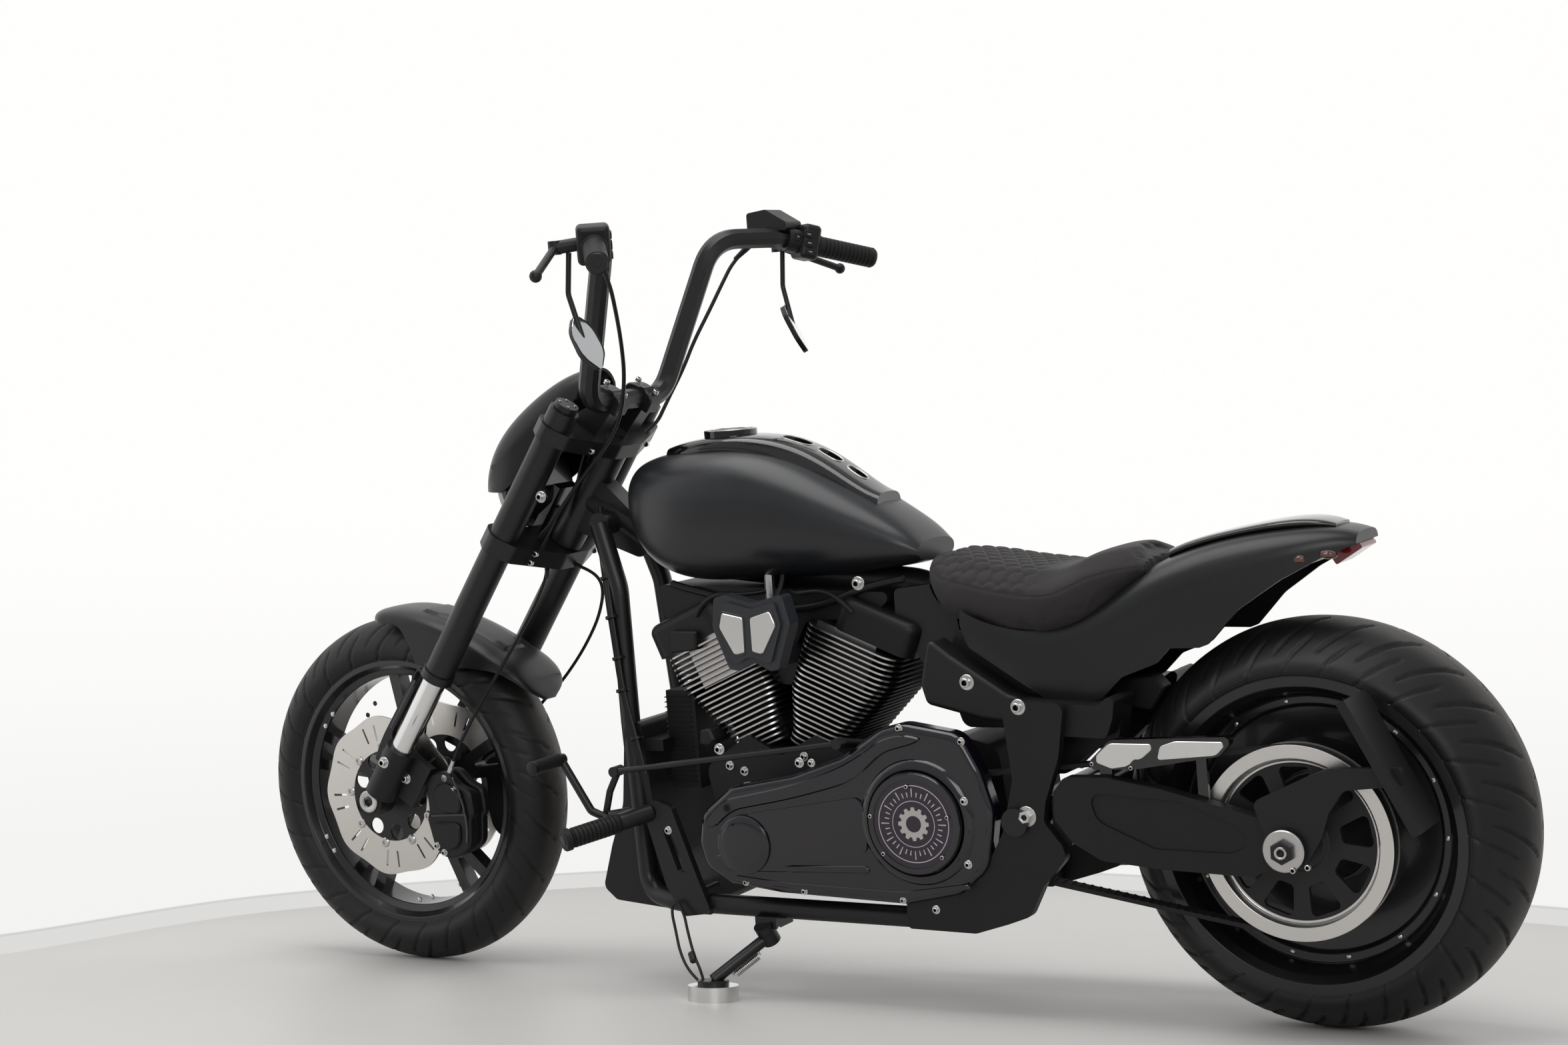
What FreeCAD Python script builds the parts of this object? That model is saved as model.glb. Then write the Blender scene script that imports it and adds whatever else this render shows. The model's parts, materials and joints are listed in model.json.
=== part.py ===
import FreeCAD, Part
import math
import os

# A long, low V-twin chopper motorcycle, leaning on its side stand.
# It is modelled upright, in millimetres: X forward from the rear axle, Y to the
# rider's left, Z up from the ground. The last step leans every sub-part.

Vector = FreeCAD.Vector
Placement = FreeCAD.Placement
Rotation = FreeCAD.Rotation

SIZES = [
    ("wheelbase", 1760, "rear axle to front axle"),
    ("lean", 8.17, "degrees that the motorcycle leans to its left"),
    ("rake", 35, "degrees of the fork from the vertical"),
    ("rear_radius", 316, "rear tyre, axle to tread"),
    ("rear_width", 250, "rear tyre width"),
    ("rear_crown", 150, "rear tread's crown radius"),
    ("rear_bead", 229, "rear rim, axle to bead seat"),
    ("front_radius", 324, "front tyre, axle to tread"),
    ("front_width", 127, "front tyre width"),
    ("front_crown", 68, "front tread's crown radius"),
    ("front_bead", 241, "front rim, axle to bead seat"),
    ("tyre_wall", 11, "tyre wall thickness"),
    ("fender_gap", 13, "front fender, its clearance round the tyre"),
    ("fender_wall", 4, "front fender thickness"),
    ("bearing_gap", 0.3, "running gap round an axle or stem"),
    ("axle_radius", 12, "both axles"),
    ("axle_bore", 7, "hole through both axles"),
    ("front_axle_half", 150, "front axle, half its length"),
    ("rear_axle_half", 226, "rear axle, half its length"),
    ("fork_half", 130, "fork legs, half the distance between them"),
    ("fork_lead", 5, "front axle ahead of the fork legs' line"),
    ("stem_back", 45, "steering axis behind the fork legs' line"),
    ("stanchion_radius", 21.5, "sliding tube of the fork"),
    ("outer_radius", 27, "upper tube of the fork"),
    ("wiper_height", 280, "axle to the upper tube's lower end"),
    ("fork_height", 850, "axle to the fork's top"),
    ("lower_clamp_depth", 34, "lower clamp thickness"),
    ("upper_clamp_drop", 60, "fork's top to the upper clamp's underside"),
    ("clamp_spread", 234, "lower clamp's underside to the upper clamp's"),
    ("upper_clamp_depth", 28, "upper clamp thickness"),
    ("stem_radius", 15, "steering stem"),
    ("neck_radius", 31, "steering neck's outer radius"),
    ("bar_radius", 16, "handlebar tube"),
    ("bar_bend", 48, "handlebar's bend radius"),
    ("grip_radius", 18.5, "rubber grips"),
    ("grip_length", 122, "rubber grips"),
    ("disc_radius", 150, "front brake discs"),
    ("disc_plane", 84, "front brake discs, from the middle"),
    ("disc_depth", 5, "brake disc thickness"),
    ("rear_disc_radius", 146, "rear brake disc"),
    ("belt_radius", 143, "rear pulley's pitch radius"),
    ("belt_front_radius", 62.4, "front pulley's pitch radius"),
    ("belt_plane", 154, "middle of the belt from the middle of the frame"),
    ("belt_width", 25, "drive belt"),
    ("belt_back", 2, "belt outside its pitch line"),
    ("belt_root", 1.5, "belt inside its pitch line"),
    ("belt_tooth", 3, "tooth height"),
    ("arm_inner", 175, "inner face of the swingarm and frame plates"),
    ("arm_outer", 201, "outer face of the swingarm"),
    ("plate_outer", 193, "outer face of the frame plates"),
    ("tube_radius", 17, "frame rails"),
    ("spine_radius", 27, "frame backbone"),
    ("case_half", 100, "crankcase, half its width"),
    ("primary_inner", 172, "primary cover's inner face behind the crank"),
    ("primary_outer", 204, "primary cover's outer face"),
    ("clutch_radius", 82, "round clutch cover"),
    ("clutch_depth", 14, "round clutch cover"),
    ("crank_x", 905, "crankshaft from the rear axle"),
    ("crank_z", 305, "crankshaft above the ground"),
    ("vee_half", 22.5, "degrees of each cylinder from the vertical"),
    ("fin_pitch", 9.5, "cooling fins"),
    ("fin_depth", 3, "cooling fin thickness"),
    ("clutch_x", 604, "clutch and front pulley from the rear axle"),
    ("clutch_z", 335, "clutch above the ground"),
    ("pivot_x", 438, "swingarm pivot from the rear axle"),
    ("pivot_z", 339, "swingarm pivot above the ground"),
    ("pivot_radius", 15, "swingarm pivot shaft"),
    ("tank_half", 128, "fuel tank, half its width"),
    ("console_raise", 9, "tank console above the tank"),
    ("seat_half", 158, "seat, half its width"),
    ("tail_half", 118, "tail section, half its width"),
    ("wheel_well", 346, "wheel well under the tail, from the rear axle"),
    ("muffler_radius", 50, "muffler"),
    ("pipe_radius", 22, "exhaust pipes"),
    ("lever_rod_radius", 5, "shift rod"),
    ("peg_radius", 15, "foot pegs"),
    ("puck_radius", 42, "round puck under the stand's foot"),
    ("puck_height", 25, "round puck under the stand's foot"),
    ("knuckle_half", 11, "half thickness of the side stand's knuckle"),
]

doc = FreeCAD.newDocument("chopper")
sheet = doc.addObject("Spreadsheet::Sheet", "sizes")
for row, (alias, value, note) in enumerate(SIZES, 1):
    sheet.set(f"A{row}", alias)
    sheet.set(f"B{row}", str(value))
    sheet.set(f"C{row}", note)
    sheet.setAlias(f"B{row}", alias)
doc.recompute()

nodes = []


def size(alias):
    """A driving size, read from the sheet."""
    return float(sheet.get(alias))


# Outlines and plain solids

def rounded(corners):
    """Closed outline from (a, b, radius) corners: straight lines joined by tangent arcs."""
    count = len(corners)
    joints = []
    for i in range(count):
        before = Vector(*corners[i - 1][:2])
        here = Vector(*corners[i][:2])
        after = Vector(*corners[(i + 1) % count][:2])
        radius = corners[i][2] if len(corners[i]) > 2 else 0
        back = (before - here).normalize()
        ahead = (after - here).normalize()
        angle = math.acos(max(-1, min(1, back.dot(ahead))))
        if radius <= 0 or angle > math.pi - 0.01:
            joints.append((here, None, here))
            continue
        run = 0.48 * min((before - here).Length, (after - here).Length)
        tangent = min(radius / math.tan(angle / 2), run)
        radius = tangent * math.tan(angle / 2)
        centre_way = (back + ahead).normalize()
        centre = here + centre_way * (radius / math.sin(angle / 2))
        joints.append((here + back * tangent, centre - centre_way * radius, here + ahead * tangent))
    edges = []
    for i, (start, middle, end) in enumerate(joints):
        if middle is not None:
            edges.append(Part.Arc(start, middle, end))
        following = joints[(i + 1) % count][0]
        if (following - end).Length > 1e-6:
            edges.append(Part.LineSegment(end, following))
    return edges


def face_of(edges, placement):
    """Flat face inside a closed outline, laid on a plane."""
    wire = Part.Wire(Part.__sortEdges__([edge.toShape() for edge in edges]))
    face = Part.Face(wire)
    face.Placement = placement
    return face


def side_plane(y):
    """Plane at a distance y from the middle: outlines are drawn in X and Z."""
    return Placement(Vector(0, y, 0), Rotation(Vector(1, 0, 0), 90))


def side_slab(corners, low, high):
    """Plate with an outline in X and Z, between two distances from the middle."""
    return face_of(rounded(corners), side_plane(high)).extrude(Vector(0, low - high, 0))


def plan_slab(corners, low, high):
    """Plate with an outline in X and Y, between two heights."""
    return face_of(rounded(corners), Placement(Vector(0, 0, low), Rotation())).extrude(Vector(0, 0, high - low))


def rod(start, end, radius):
    """Round bar from one point to another."""
    way = Vector(*end) - Vector(*start)
    return Part.makeCylinder(radius, way.Length, Vector(*start), way)


def box(low, high):
    """Box from its low corner to its high corner."""
    spans = [b - a for a, b in zip(low, high)]
    return Part.makeBox(*spans, Vector(*low))


def bent_path(points, bend):
    """Open wire of straight runs joined by tangent arcs."""
    points = [Vector(*point) for point in points]
    edges = []
    last = points[0]
    for before, here, after in zip(points, points[1:], points[2:]):
        back = (before - here).normalize()
        ahead = (after - here).normalize()
        angle = math.acos(max(-1, min(1, back.dot(ahead))))
        run = 0.45 * min((before - here).Length, (after - here).Length)
        tangent = min(bend / math.tan(angle / 2), run)
        radius = tangent * math.tan(angle / 2)
        way = (back + ahead).normalize()
        middle = here + way * (radius / math.sin(angle / 2) - radius)
        edges.append(Part.makeLine(last, here + back * tangent))
        edges.append(Part.Arc(here + back * tangent, middle, here + ahead * tangent).toShape())
        last = here + ahead * tangent
    edges.append(Part.makeLine(last, points[-1]))
    return Part.Wire(edges)


def bent_rod(points, radius, bend):
    """Round bar swept along straight runs and arcs."""
    path = bent_path(points, bend)
    start = path.Vertexes[0].Point
    way = path.Edges[0].tangentAt(path.Edges[0].FirstParameter)
    ring = Part.Wire([Part.makeCircle(radius, start, way)])
    return path.makePipeShell([ring], True, True)


def ring_section(x, low, high, half, square=2.6, tilt=0.0):
    """Closed smooth section across the motorcycle, a rounded box in Y and Z."""
    middle = (low + high) / 2
    rise = (high - low) / 2
    points = []
    for step in range(16):
        turn = 2 * math.pi * (step + 0.5) / 16
        c, s = math.cos(turn), math.sin(turn)
        y = half * math.copysign(abs(c) ** (2 / square), c)
        z = rise * math.copysign(abs(s) ** (2 / square), s)
        points.append(Vector(x - tilt * z, y, middle + z))
    curve = Part.BSplineCurve()
    curve.interpolate(points, PeriodicFlag=True)
    return Part.Wire([curve.toShape()])


def sectioned(sections):
    """Smooth solid through sections across the motorcycle."""
    return Part.makeLoft([ring_section(*section) for section in sections], True, False)


def both_sides(shape):
    """A piece and its mirror image, as two solids."""
    return Part.makeCompound([shape, shape.mirror(Vector(0, 0, 0), Vector(0, 1, 0))])


def mirrored(shape):
    return shape.mirror(Vector(0, 0, 0), Vector(0, 1, 0))


def joined(*shapes):
    """Solids fused into one."""
    whole = shapes[0].fuse(list(shapes[1:]))
    return whole.removeSplitter()


# Sub-parts as document objects

def built(label):
    """Shape of a sub-part made earlier."""
    return next(node.Shape for node in nodes if node.Label == label)


def add(label, shape):
    """A sub-part whose shape is made with Part's functions."""
    piece = doc.addObject("Part::Feature", label)
    piece.Label = label
    piece.Shape = shape
    nodes.append(piece)
    return piece


def keep(label, piece):
    """An object that is a sub-part by itself."""
    piece.Label = label
    nodes.append(piece)
    return piece


def origin_plane(body, role):
    return next(feature for feature in body.Origin.OriginFeatures if feature.Role == role)


def sketch_on(body, role, edges, name, offset=None):
    """Sketch on one of a body's own planes."""
    sketch = body.newObject("Sketcher::SketchObject", name)
    sketch.AttachmentSupport = (origin_plane(body, role), [""])
    sketch.MapMode = "FlatFace"
    if offset is not None:
        sketch.AttachmentOffset = offset
    sketch.addGeometry(edges, False)
    return sketch


def spun_body(label, edges, centre):
    """Body turned round a wheel's axle: its outline is drawn in Y and radius."""
    body = doc.addObject("PartDesign::Body", label)
    sketch = sketch_on(body, "YZ_Plane", edges, label + "_section")
    turned = body.newObject("PartDesign::Revolution", label + "_turned")
    turned.Profile = sketch
    turned.ReferenceAxis = (sketch, ["H_Axis"])
    turned.Angle = 360
    body.Tip = turned
    body.Placement = Placement(centre, Rotation())
    return body


def repeat_round(body, feature, count, name):
    """Repeat a feature round a wheel's axle."""
    pattern = body.newObject("PartDesign::PolarPattern", name)
    pattern.Originals = [feature]
    pattern.Axis = (origin_plane(body, "Y_Axis"), [""])
    pattern.Angle = 360
    pattern.Occurrences = count
    body.Tip = pattern
    return pattern


def side_body(label, corners, low, high):
    """Body padded from an outline in X and Z; low and high are expressions for Y."""
    body = doc.addObject("PartDesign::Body", label)
    sketch = sketch_on(body, "XZ_Plane", rounded(corners), label + "_outline")
    sketch.setExpression(".AttachmentOffset.Base.z", f"-({high})")
    pad = body.newObject("PartDesign::Pad", label + "_pad")
    pad.Profile = sketch
    pad.setExpression("Length", f"({high}) - ({low})")
    body.Tip = pad
    return body


# Where the leaned motorcycle stands

LEAN = math.radians(size("lean"))
RAKE = math.radians(size("rake"))


def leaned_height(radius, crown):
    """Axle height of a leaned wheel that rests on its round crown."""
    return (radius - crown) * math.cos(LEAN) + crown


REAR_HEIGHT = leaned_height(size("rear_radius"), size("rear_crown"))
FRONT_HEIGHT = leaned_height(size("front_radius"), size("front_crown"))
REAR_AXLE = Vector(0, 0, size("rear_radius"))
FRONT_AXLE = Vector(size("wheelbase"), 0,
                    size("rear_radius") + (FRONT_HEIGHT - REAR_HEIGHT) / math.cos(LEAN))
GRIP_Z = 1240


def ground_height(y):
    """Height of the floor under a point of the upright model, after the lean."""
    return size("rear_radius") + (y * math.sin(LEAN) - REAR_HEIGHT) / math.cos(LEAN)


# The fork's own frame: Z up along the legs, X ahead of them, origin at the axle
DOWN = Vector(math.sin(RAKE), 0, -math.cos(RAKE))
AHEAD = Vector(math.cos(RAKE), 0, math.sin(RAKE))
FOOT = FRONT_AXLE - AHEAD * size("fork_lead")
FORK = Placement(FOOT, Rotation(Vector(0, 1, 0), -size("rake")))
UPPER_CLAMP = size("fork_height") - size("upper_clamp_drop")
LOWER_CLAMP = UPPER_CLAMP - size("clamp_spread")


def on_fork(ahead, y, up):
    return FORK.multVec(Vector(ahead, y, up))


def forked(shape):
    """Shape drawn in the fork's frame, moved to its place."""
    moved = shape.copy()
    moved.Placement = FORK.multiply(moved.Placement)
    return moved


# Wheels

def tyre_edges(radius, width, crown, bead, bead_half):
    """Half-round tyre section with an air space, in Y and radius."""
    half = width / 2
    wall = size("tyre_wall")
    edge = 0.8 * half
    edge_r = radius - crown + math.sqrt(crown ** 2 - edge ** 2)
    side_r = edge_r - 0.2 * half
    points = []
    for side in (1, -1):
        points.append([
            Vector(side * edge, edge_r, 0),
            Vector(side * (edge + half) / 2 + side * 0.03 * half, edge_r - 0.07 * half, 0),
            Vector(side * half, side_r, 0),
            Vector(side * (half - 0.02 * half), (side_r + bead) / 2 + 0.12 * half, 0),
            Vector(side * bead_half, bead + RIM_LIP + 3, 0),
            Vector(side * bead_half, bead, 0),
            Vector(side * (bead_half - wall), bead, 0),
            Vector(side * (half - wall), side_r, 0),
            Vector(side * (edge - 0.4 * wall), edge_r - wall, 0),
        ])
    left, right = points
    edges = [Part.Arc(right[0], Vector(0, radius, 0), left[0])]
    edges.append(Part.Arc(left[0], left[1], left[2]))
    edges.append(Part.Arc(left[2], left[3], left[4]))
    for start, end in zip(left[4:8], left[5:9]):
        edges.append(Part.LineSegment(start, end))
    edges.append(Part.Arc(left[8], Vector(0, radius - wall, 0), right[8]))
    for start, end in zip(right[8:4:-1], right[7:3:-1]):
        edges.append(Part.LineSegment(start, end))
    edges.append(Part.Arc(right[4], right[3], right[2]))
    edges.append(Part.Arc(right[2], right[1], right[0]))
    return edges


RIM_LIP = 13
REAR_DISC_FACE = 143
REAR_RIM_HALF = 0.45 * size("rear_width")
FRONT_RIM_HALF = 0.35 * size("front_width")
HUB_BORE = size("axle_radius") + size("bearing_gap")


def rear_wheel():
    keep("rear_tyre", spun_body("rear_tyre", tyre_edges(
        size("rear_radius"), size("rear_width"), size("rear_crown"), size("rear_bead"), REAR_RIM_HALF),
        REAR_AXLE))
    half = REAR_RIM_HALF
    bead = size("rear_bead")
    web = 52
    hub = 62
    pulley_face = size("belt_plane") - size("belt_width") / 2 - 4
    disc_face = REAR_DISC_FACE
    rim = rounded([
        (-half - 6, bead - 4, 2), (-half - 6, bead + 14, 3), (-half - 0.3, bead + 14, 1),
        (-half - 0.3, bead), (-half + 24, bead), (-half + 34, bead - 16, 4), (half - 34, bead - 16, 4),
        (half - 24, bead), (half + 0.3, bead), (half + 0.3, bead + 14, 1), (half + 6, bead + 14, 3),
        (half + 6, bead - 4, 2), (half - 10, bead - 14, 6), (web + 14, bead - 24, 5),
        (web + 14, bead - 38, 3), (web + 4, bead - 42, 3), (web, bead - 90, 8), (web - 8, hub + 20, 8),
        (pulley_face - 30, hub, 6), (pulley_face, hub - 8, 3), (pulley_face, HUB_BORE),
        (-disc_face, HUB_BORE), (-disc_face, hub - 14, 3), (-disc_face + 30, hub - 8, 6),
        (web - 34, hub + 12, 8), (web - 20, bead - 90, 8), (web - 14, bead - 40, 6),
        (web - 14, bead - 24, 5), (-half + 34, bead - 24, 4), (-half + 10, bead - 14, 6)])
    keep("rear_rim", spun_body("rear_rim", rim, REAR_AXLE))


def front_wheel():
    keep("front_tyre", spun_body("front_tyre", tyre_edges(
        size("front_radius"), size("front_width"), size("front_crown"), size("front_bead"),
        FRONT_RIM_HALF), FRONT_AXLE))
    half = FRONT_RIM_HALF
    bead = size("front_bead")
    hub = 34
    face = size("disc_plane") - size("disc_depth") / 2
    barrel = rounded([
        (-half - 5, bead - 3, 2), (-half - 5, bead + 12, 3), (-half - 0.3, bead + 12, 1),
        (-half - 0.3, bead), (-half + 12, bead), (-half + 20, bead - 12, 4), (half - 20, bead - 12, 4),
        (half - 12, bead), (half + 0.3, bead), (half + 0.3, bead + 12, 1), (half + 5, bead + 12, 3),
        (half + 5, bead - 3, 2), (half - 8, bead - 12, 5), (half - 14, bead - 24, 4),
        (-half + 14, bead - 24, 4), (-half + 8, bead - 12, 5)])
    rim = spun_body("front_rim", barrel, FRONT_AXLE)
    hub_outline = rounded([
        (-face, HUB_BORE), (-face, 46, 2), (-face + 8, 46, 3), (-face + 24, hub, 8),
        (face - 24, hub, 8), (face - 8, 46, 3), (face, 46, 2), (face, HUB_BORE)])
    hub_sketch = sketch_on(rim, "YZ_Plane", hub_outline, "front_hub_section")
    hub_turned = rim.newObject("PartDesign::Revolution", "front_hub")
    hub_turned.Profile = hub_sketch
    hub_turned.ReferenceAxis = (hub_sketch, ["H_Axis"])
    hub_turned.Angle = 360
    spoke = [(-8, hub - 6), (-13, 90), (-40, bead - 18), (-18, bead - 18), (0, 128, 6),
             (18, bead - 18), (40, bead - 18), (13, 90), (8, hub - 6)]
    spoke_sketch = sketch_on(rim, "XZ_Plane", rounded(spoke), "spoke_outline")
    spoke_pad = rim.newObject("PartDesign::Pad", "spoke")
    spoke_pad.Profile = spoke_sketch
    spoke_pad.Length = 30
    spoke_pad.Midplane = True
    repeat_round(rim, spoke_pad, 5, "spokes")
    keep("front_rim", rim)


def disc_edges(radius, lobes, depth):
    """Wavy brake disc outline as a smooth closed curve."""
    points = []
    for step in range(lobes * 6):
        turn = 2 * math.pi * step / (lobes * 6)
        here = radius - depth / 2 + depth / 2 * math.cos(lobes * turn)
        points.append(Vector(here * math.cos(turn), here * math.sin(turn), 0))
    curve = Part.BSplineCurve()
    curve.interpolate(points, PeriodicFlag=True)
    return [curve]


def brake_disc(radius, inner, carrier, plane):
    """Disc with a wavy rim and a carrier with lightening holes, at a distance from the middle."""
    depth = size("disc_depth")
    spread = Placement(Vector(0, plane + depth / 2, 0), Rotation(Vector(1, 0, 0), 90))
    disc = face_of(disc_edges(radius, 9, 6), spread).extrude(Vector(0, -depth, 0))
    holes = []
    for step in range(9):
        turn = math.radians(40 * step + 23)
        middle = (inner + carrier) / 2
        holes.append(Part.makeCylinder((inner - carrier) / 2 - 6, 4 * depth,
                     Vector(middle * math.cos(turn), plane - 2 * depth, middle * math.sin(turn)),
                     Vector(0, 1, 0)))
    for step in range(18):
        slot = Part.makeBox(30, 4 * depth, 4, Vector(inner + 14, plane - 2 * depth, -2))
        slot.rotate(Vector(0, 0, 0), Vector(0, 1, 0), 20 * step - 3 + 4 * (-1) ** step)
        holes.append(slot)
    bore = Part.makeCylinder(HUB_BORE + 4, 4 * depth, Vector(0, plane - 2 * depth, 0), Vector(0, 1, 0))
    return disc.cut(holes + [bore])


def discs():
    front = brake_disc(size("disc_radius"), 90, 48, size("disc_plane"))
    front.translate(FRONT_AXLE)
    add("front_discs", both_sides(front))
    rear_plane = -REAR_DISC_FACE - size("disc_depth") / 2
    rear = brake_disc(size("rear_disc_radius"), 88, 46, rear_plane)
    rear.translate(REAR_AXLE)
    add("rear_disc", rear)


# Fork and steering

def caliper_lug_shape():
    """Lug on the back of the fork's foot that carries the brake caliper."""
    return Part.makeBox(52, 16, 88, Vector(-68, size("fork_half") - 22, 34))


def fork():
    top = size("fork_height")
    wiper = size("wiper_height")
    outer = size("outer_radius")
    inner = size("stanchion_radius")
    y = size("fork_half")
    leg_top = 122
    leg = Part.makeCylinder(outer, top - wiper, Vector(0, y, wiper))
    wiper_ring = Part.makeCylinder(outer + 3, 16, Vector(0, y, wiper))
    cap = Part.makeCylinder(outer - 6, 12, Vector(0, y, top))
    bore = Part.makeCylinder(inner, 150, Vector(0, y, wiper))
    outers = leg.fuse([wiper_ring, cap]).cut(bore)
    add("fork_outers", both_sides(forked(outers)))
    slider = Part.makeCylinder(inner, wiper + 148 - 70, Vector(0, y, 70))
    add("fork_stanchions", both_sides(forked(slider)))
    bottom = Part.makeCylinder(inner + 8, leg_top - 20, Vector(0, y, 20))
    axle_lug = Part.makeCylinder(27, 42, Vector(size("fork_lead"), y - 25, 0), Vector(0, 1, 0))
    shank = Part.makeBox(34, 37, 70, Vector(-17 + size("fork_lead") / 2, y - 20, 0))
    caliper_lug = caliper_lug_shape()
    casting = bottom.fuse([axle_lug, shank, caliper_lug])
    casting = casting.cut(Part.makeCylinder(inner, leg_top, Vector(0, y, 70)))
    axle_hole = Part.makeCylinder(size("axle_radius"), 200, Vector(size("fork_lead"), y - 100, 0),
                                  Vector(0, 1, 0))
    add("fork_bottoms", both_sides(forked(casting.cut(axle_hole))))
    half = size("front_axle_half")
    axle = rod((FRONT_AXLE.x, -half, FRONT_AXLE.z), (FRONT_AXLE.x, half, FRONT_AXLE.z), size("axle_radius"))
    nut = rod((FRONT_AXLE.x, y + 17, FRONT_AXLE.z), (FRONT_AXLE.x, half, FRONT_AXLE.z), 19)
    hole = rod((FRONT_AXLE.x, -half - 60, FRONT_AXLE.z), (FRONT_AXLE.x, half + 60, FRONT_AXLE.z),
               size("axle_bore"))
    spacers = [rod((FRONT_AXLE.x, side * (size("disc_plane") + 2.8), FRONT_AXLE.z),
                   (FRONT_AXLE.x, side * (y - 25), FRONT_AXLE.z), 16) for side in (1, -1)]
    add("front_axle", axle.fuse([nut] + spacers).cut(hole))
    return outers, casting


def clamp_shape(low, depth, stem_hole):
    """Fork clamp across both legs, drawn in the fork's frame."""
    y = size("fork_half")
    back = size("stem_back")
    reach = size("outer_radius") + 10
    outline = [(reach, y + 8, 20), (reach, y - 30, 20), (12, y - 60, 20), (12, -y + 60, 20),
               (reach, -y + 30, 20), (reach, -y - 8, 20), (4, -y - reach, 24), (-reach, -y - 12, 20),
               (-back - 34, -34, 26), (-back - 34, 34, 26), (-reach, y + 12, 20), (4, y + reach, 24)]
    plate = plan_slab(outline, low, low + depth)
    legs = [Part.makeCylinder(size("outer_radius"), depth + 2, Vector(0, side * y, low - 1))
            for side in (1, -1)]
    if stem_hole:
        legs.append(Part.makeCylinder(size("stem_radius"), depth + 2, Vector(-back, 0, low - 1)))
    return plate.cut(legs)


def clamps():
    """Both fork clamps, the stem in the lower one and the bar's risers on the upper one."""
    low = LOWER_CLAMP
    high = UPPER_CLAMP
    high_depth = size("upper_clamp_depth")
    lower = clamp_shape(low, size("lower_clamp_depth"), False)
    stem = Part.makeCylinder(size("stem_radius"), high + high_depth + 6 - low, Vector(-size("stem_back"), 0, low))
    add("lower_clamp", forked(lower.fuse(stem)))
    upper = clamp_shape(high, high_depth, True)
    add("upper_clamp", joined(forked(upper), *risers()))


def risers():
    """Two posts on the upper clamp that hold the handlebar."""
    middle = bar_points()[0]
    top = UPPER_CLAMP + size("upper_clamp_depth")
    base = on_fork(-12, 0, top)
    under = forked(Part.makeBox(800, 800, 400, Vector(-400, -400, top - 400)))
    straight = rod((middle.x, -middle.y, middle.z), (middle.x, middle.y, middle.z), size("bar_radius"))
    outline = [(middle.x - 24, middle.z - 6, 6), (middle.x - 20, middle.z + 20, 10),
               (middle.x + 20, middle.z + 22, 10), (middle.x + 26, middle.z - 4, 6),
               (base.x + 34, base.z + 18, 2), (base.x - 20, base.z - 22, 2)]
    return [side_slab(outline, side * 50 - 17, side * 50 + 17).cut([under, straight]) for side in (1, -1)]


BAR_POINTS = [(118, 1228, 1026), (174, 1132, 1296), (300, 1068, 1296), (455, 957, 1248)]


def bar_points():
    """Left half of the handlebar from its middle, as X, Y, Z, following the fork's top."""
    shift = on_fork(0, 0, size("fork_height")) - Vector(1268, 0, 1018)
    half = [Vector(x, y, z) + shift for y, x, z in BAR_POINTS]
    return half


def bar_way():
    points = bar_points()
    return (points[3] - points[2]).normalize()


def handlebar():
    left = bar_points()
    right = [Vector(point.x, -point.y, point.z) for point in reversed(left)]
    bar = bent_rod([tuple(point) for point in right + left], size("bar_radius"), size("bar_bend"))
    end = left[-1]
    way = bar_way()
    hole_left = Part.makeCylinder(8, 60, end + way * 1, way * -1)
    bar = bar.cut([hole_left, mirrored(hole_left)])
    add("handlebar", bar)
    grip_start = end - way * size("grip_length")
    grip = Part.makeCylinder(size("grip_radius"), size("grip_length") - 4, grip_start, way)
    grip = grip.cut(Part.makeCylinder(size("bar_radius"), size("grip_length"), grip_start, way))
    add("grips", both_sides(grip))
    switch_start = grip_start - way * 34
    block = Part.makeBox(36, 54, 64, Vector(-2, -27, -30))
    block = block.makeFillet(9, block.Edges)
    block.Placement = Placement(switch_start, Rotation(way, Vector(0, 1, 0), Vector(0, 0, 1), "XZY"))
    perch_start = switch_start - way * 26
    perch = Part.makeCylinder(22, 24, perch_start, way)
    forward = Vector(0.75, 0.55, -0.1).normalize()
    forward = (forward - way * forward.dot(way)).normalize()
    arm_start = perch_start + way * 12
    arm = Part.makeCylinder(11, 62, arm_start, forward)
    tube = Part.makeCylinder(size("bar_radius"), 200, switch_start - way * 80, way)
    housing = joined(block, perch, arm)
    knuckle = arm_start + forward * 62
    tip = Vector(end.x + 92, end.y + 36, end.z - 12)
    blade_way = (tip - knuckle)
    blade = Part.makeCylinder(6.5, blade_way.Length, knuckle, blade_way)
    ball = Part.makeSphere(10, tip)
    root = Part.makeCylinder(10.5, 22, knuckle - Vector(0, 0, 11), Vector(0, 0, 1))
    left = joined(housing, blade, ball, root).cut(tube)
    reservoir = side_slab([(perch_start.x + 66, perch_start.z + 52, 6), (perch_start.x + 26, perch_start.z + 56, 6),
                           (perch_start.x - 16, perch_start.z + 30, 6), (perch_start.x - 16, perch_start.z + 16, 4),
                           (perch_start.x + 66, perch_start.z + 16, 4)], -perch_start.y - 34, -perch_start.y + 22)
    right = joined(mirrored(left), reservoir.cut(mirrored(tube)))
    add("hand_controls", Part.makeCompound([left, right]))
    mirror_top = arm_start + forward * 40 + Vector(0, 0, -11)
    return mirror_top


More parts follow.
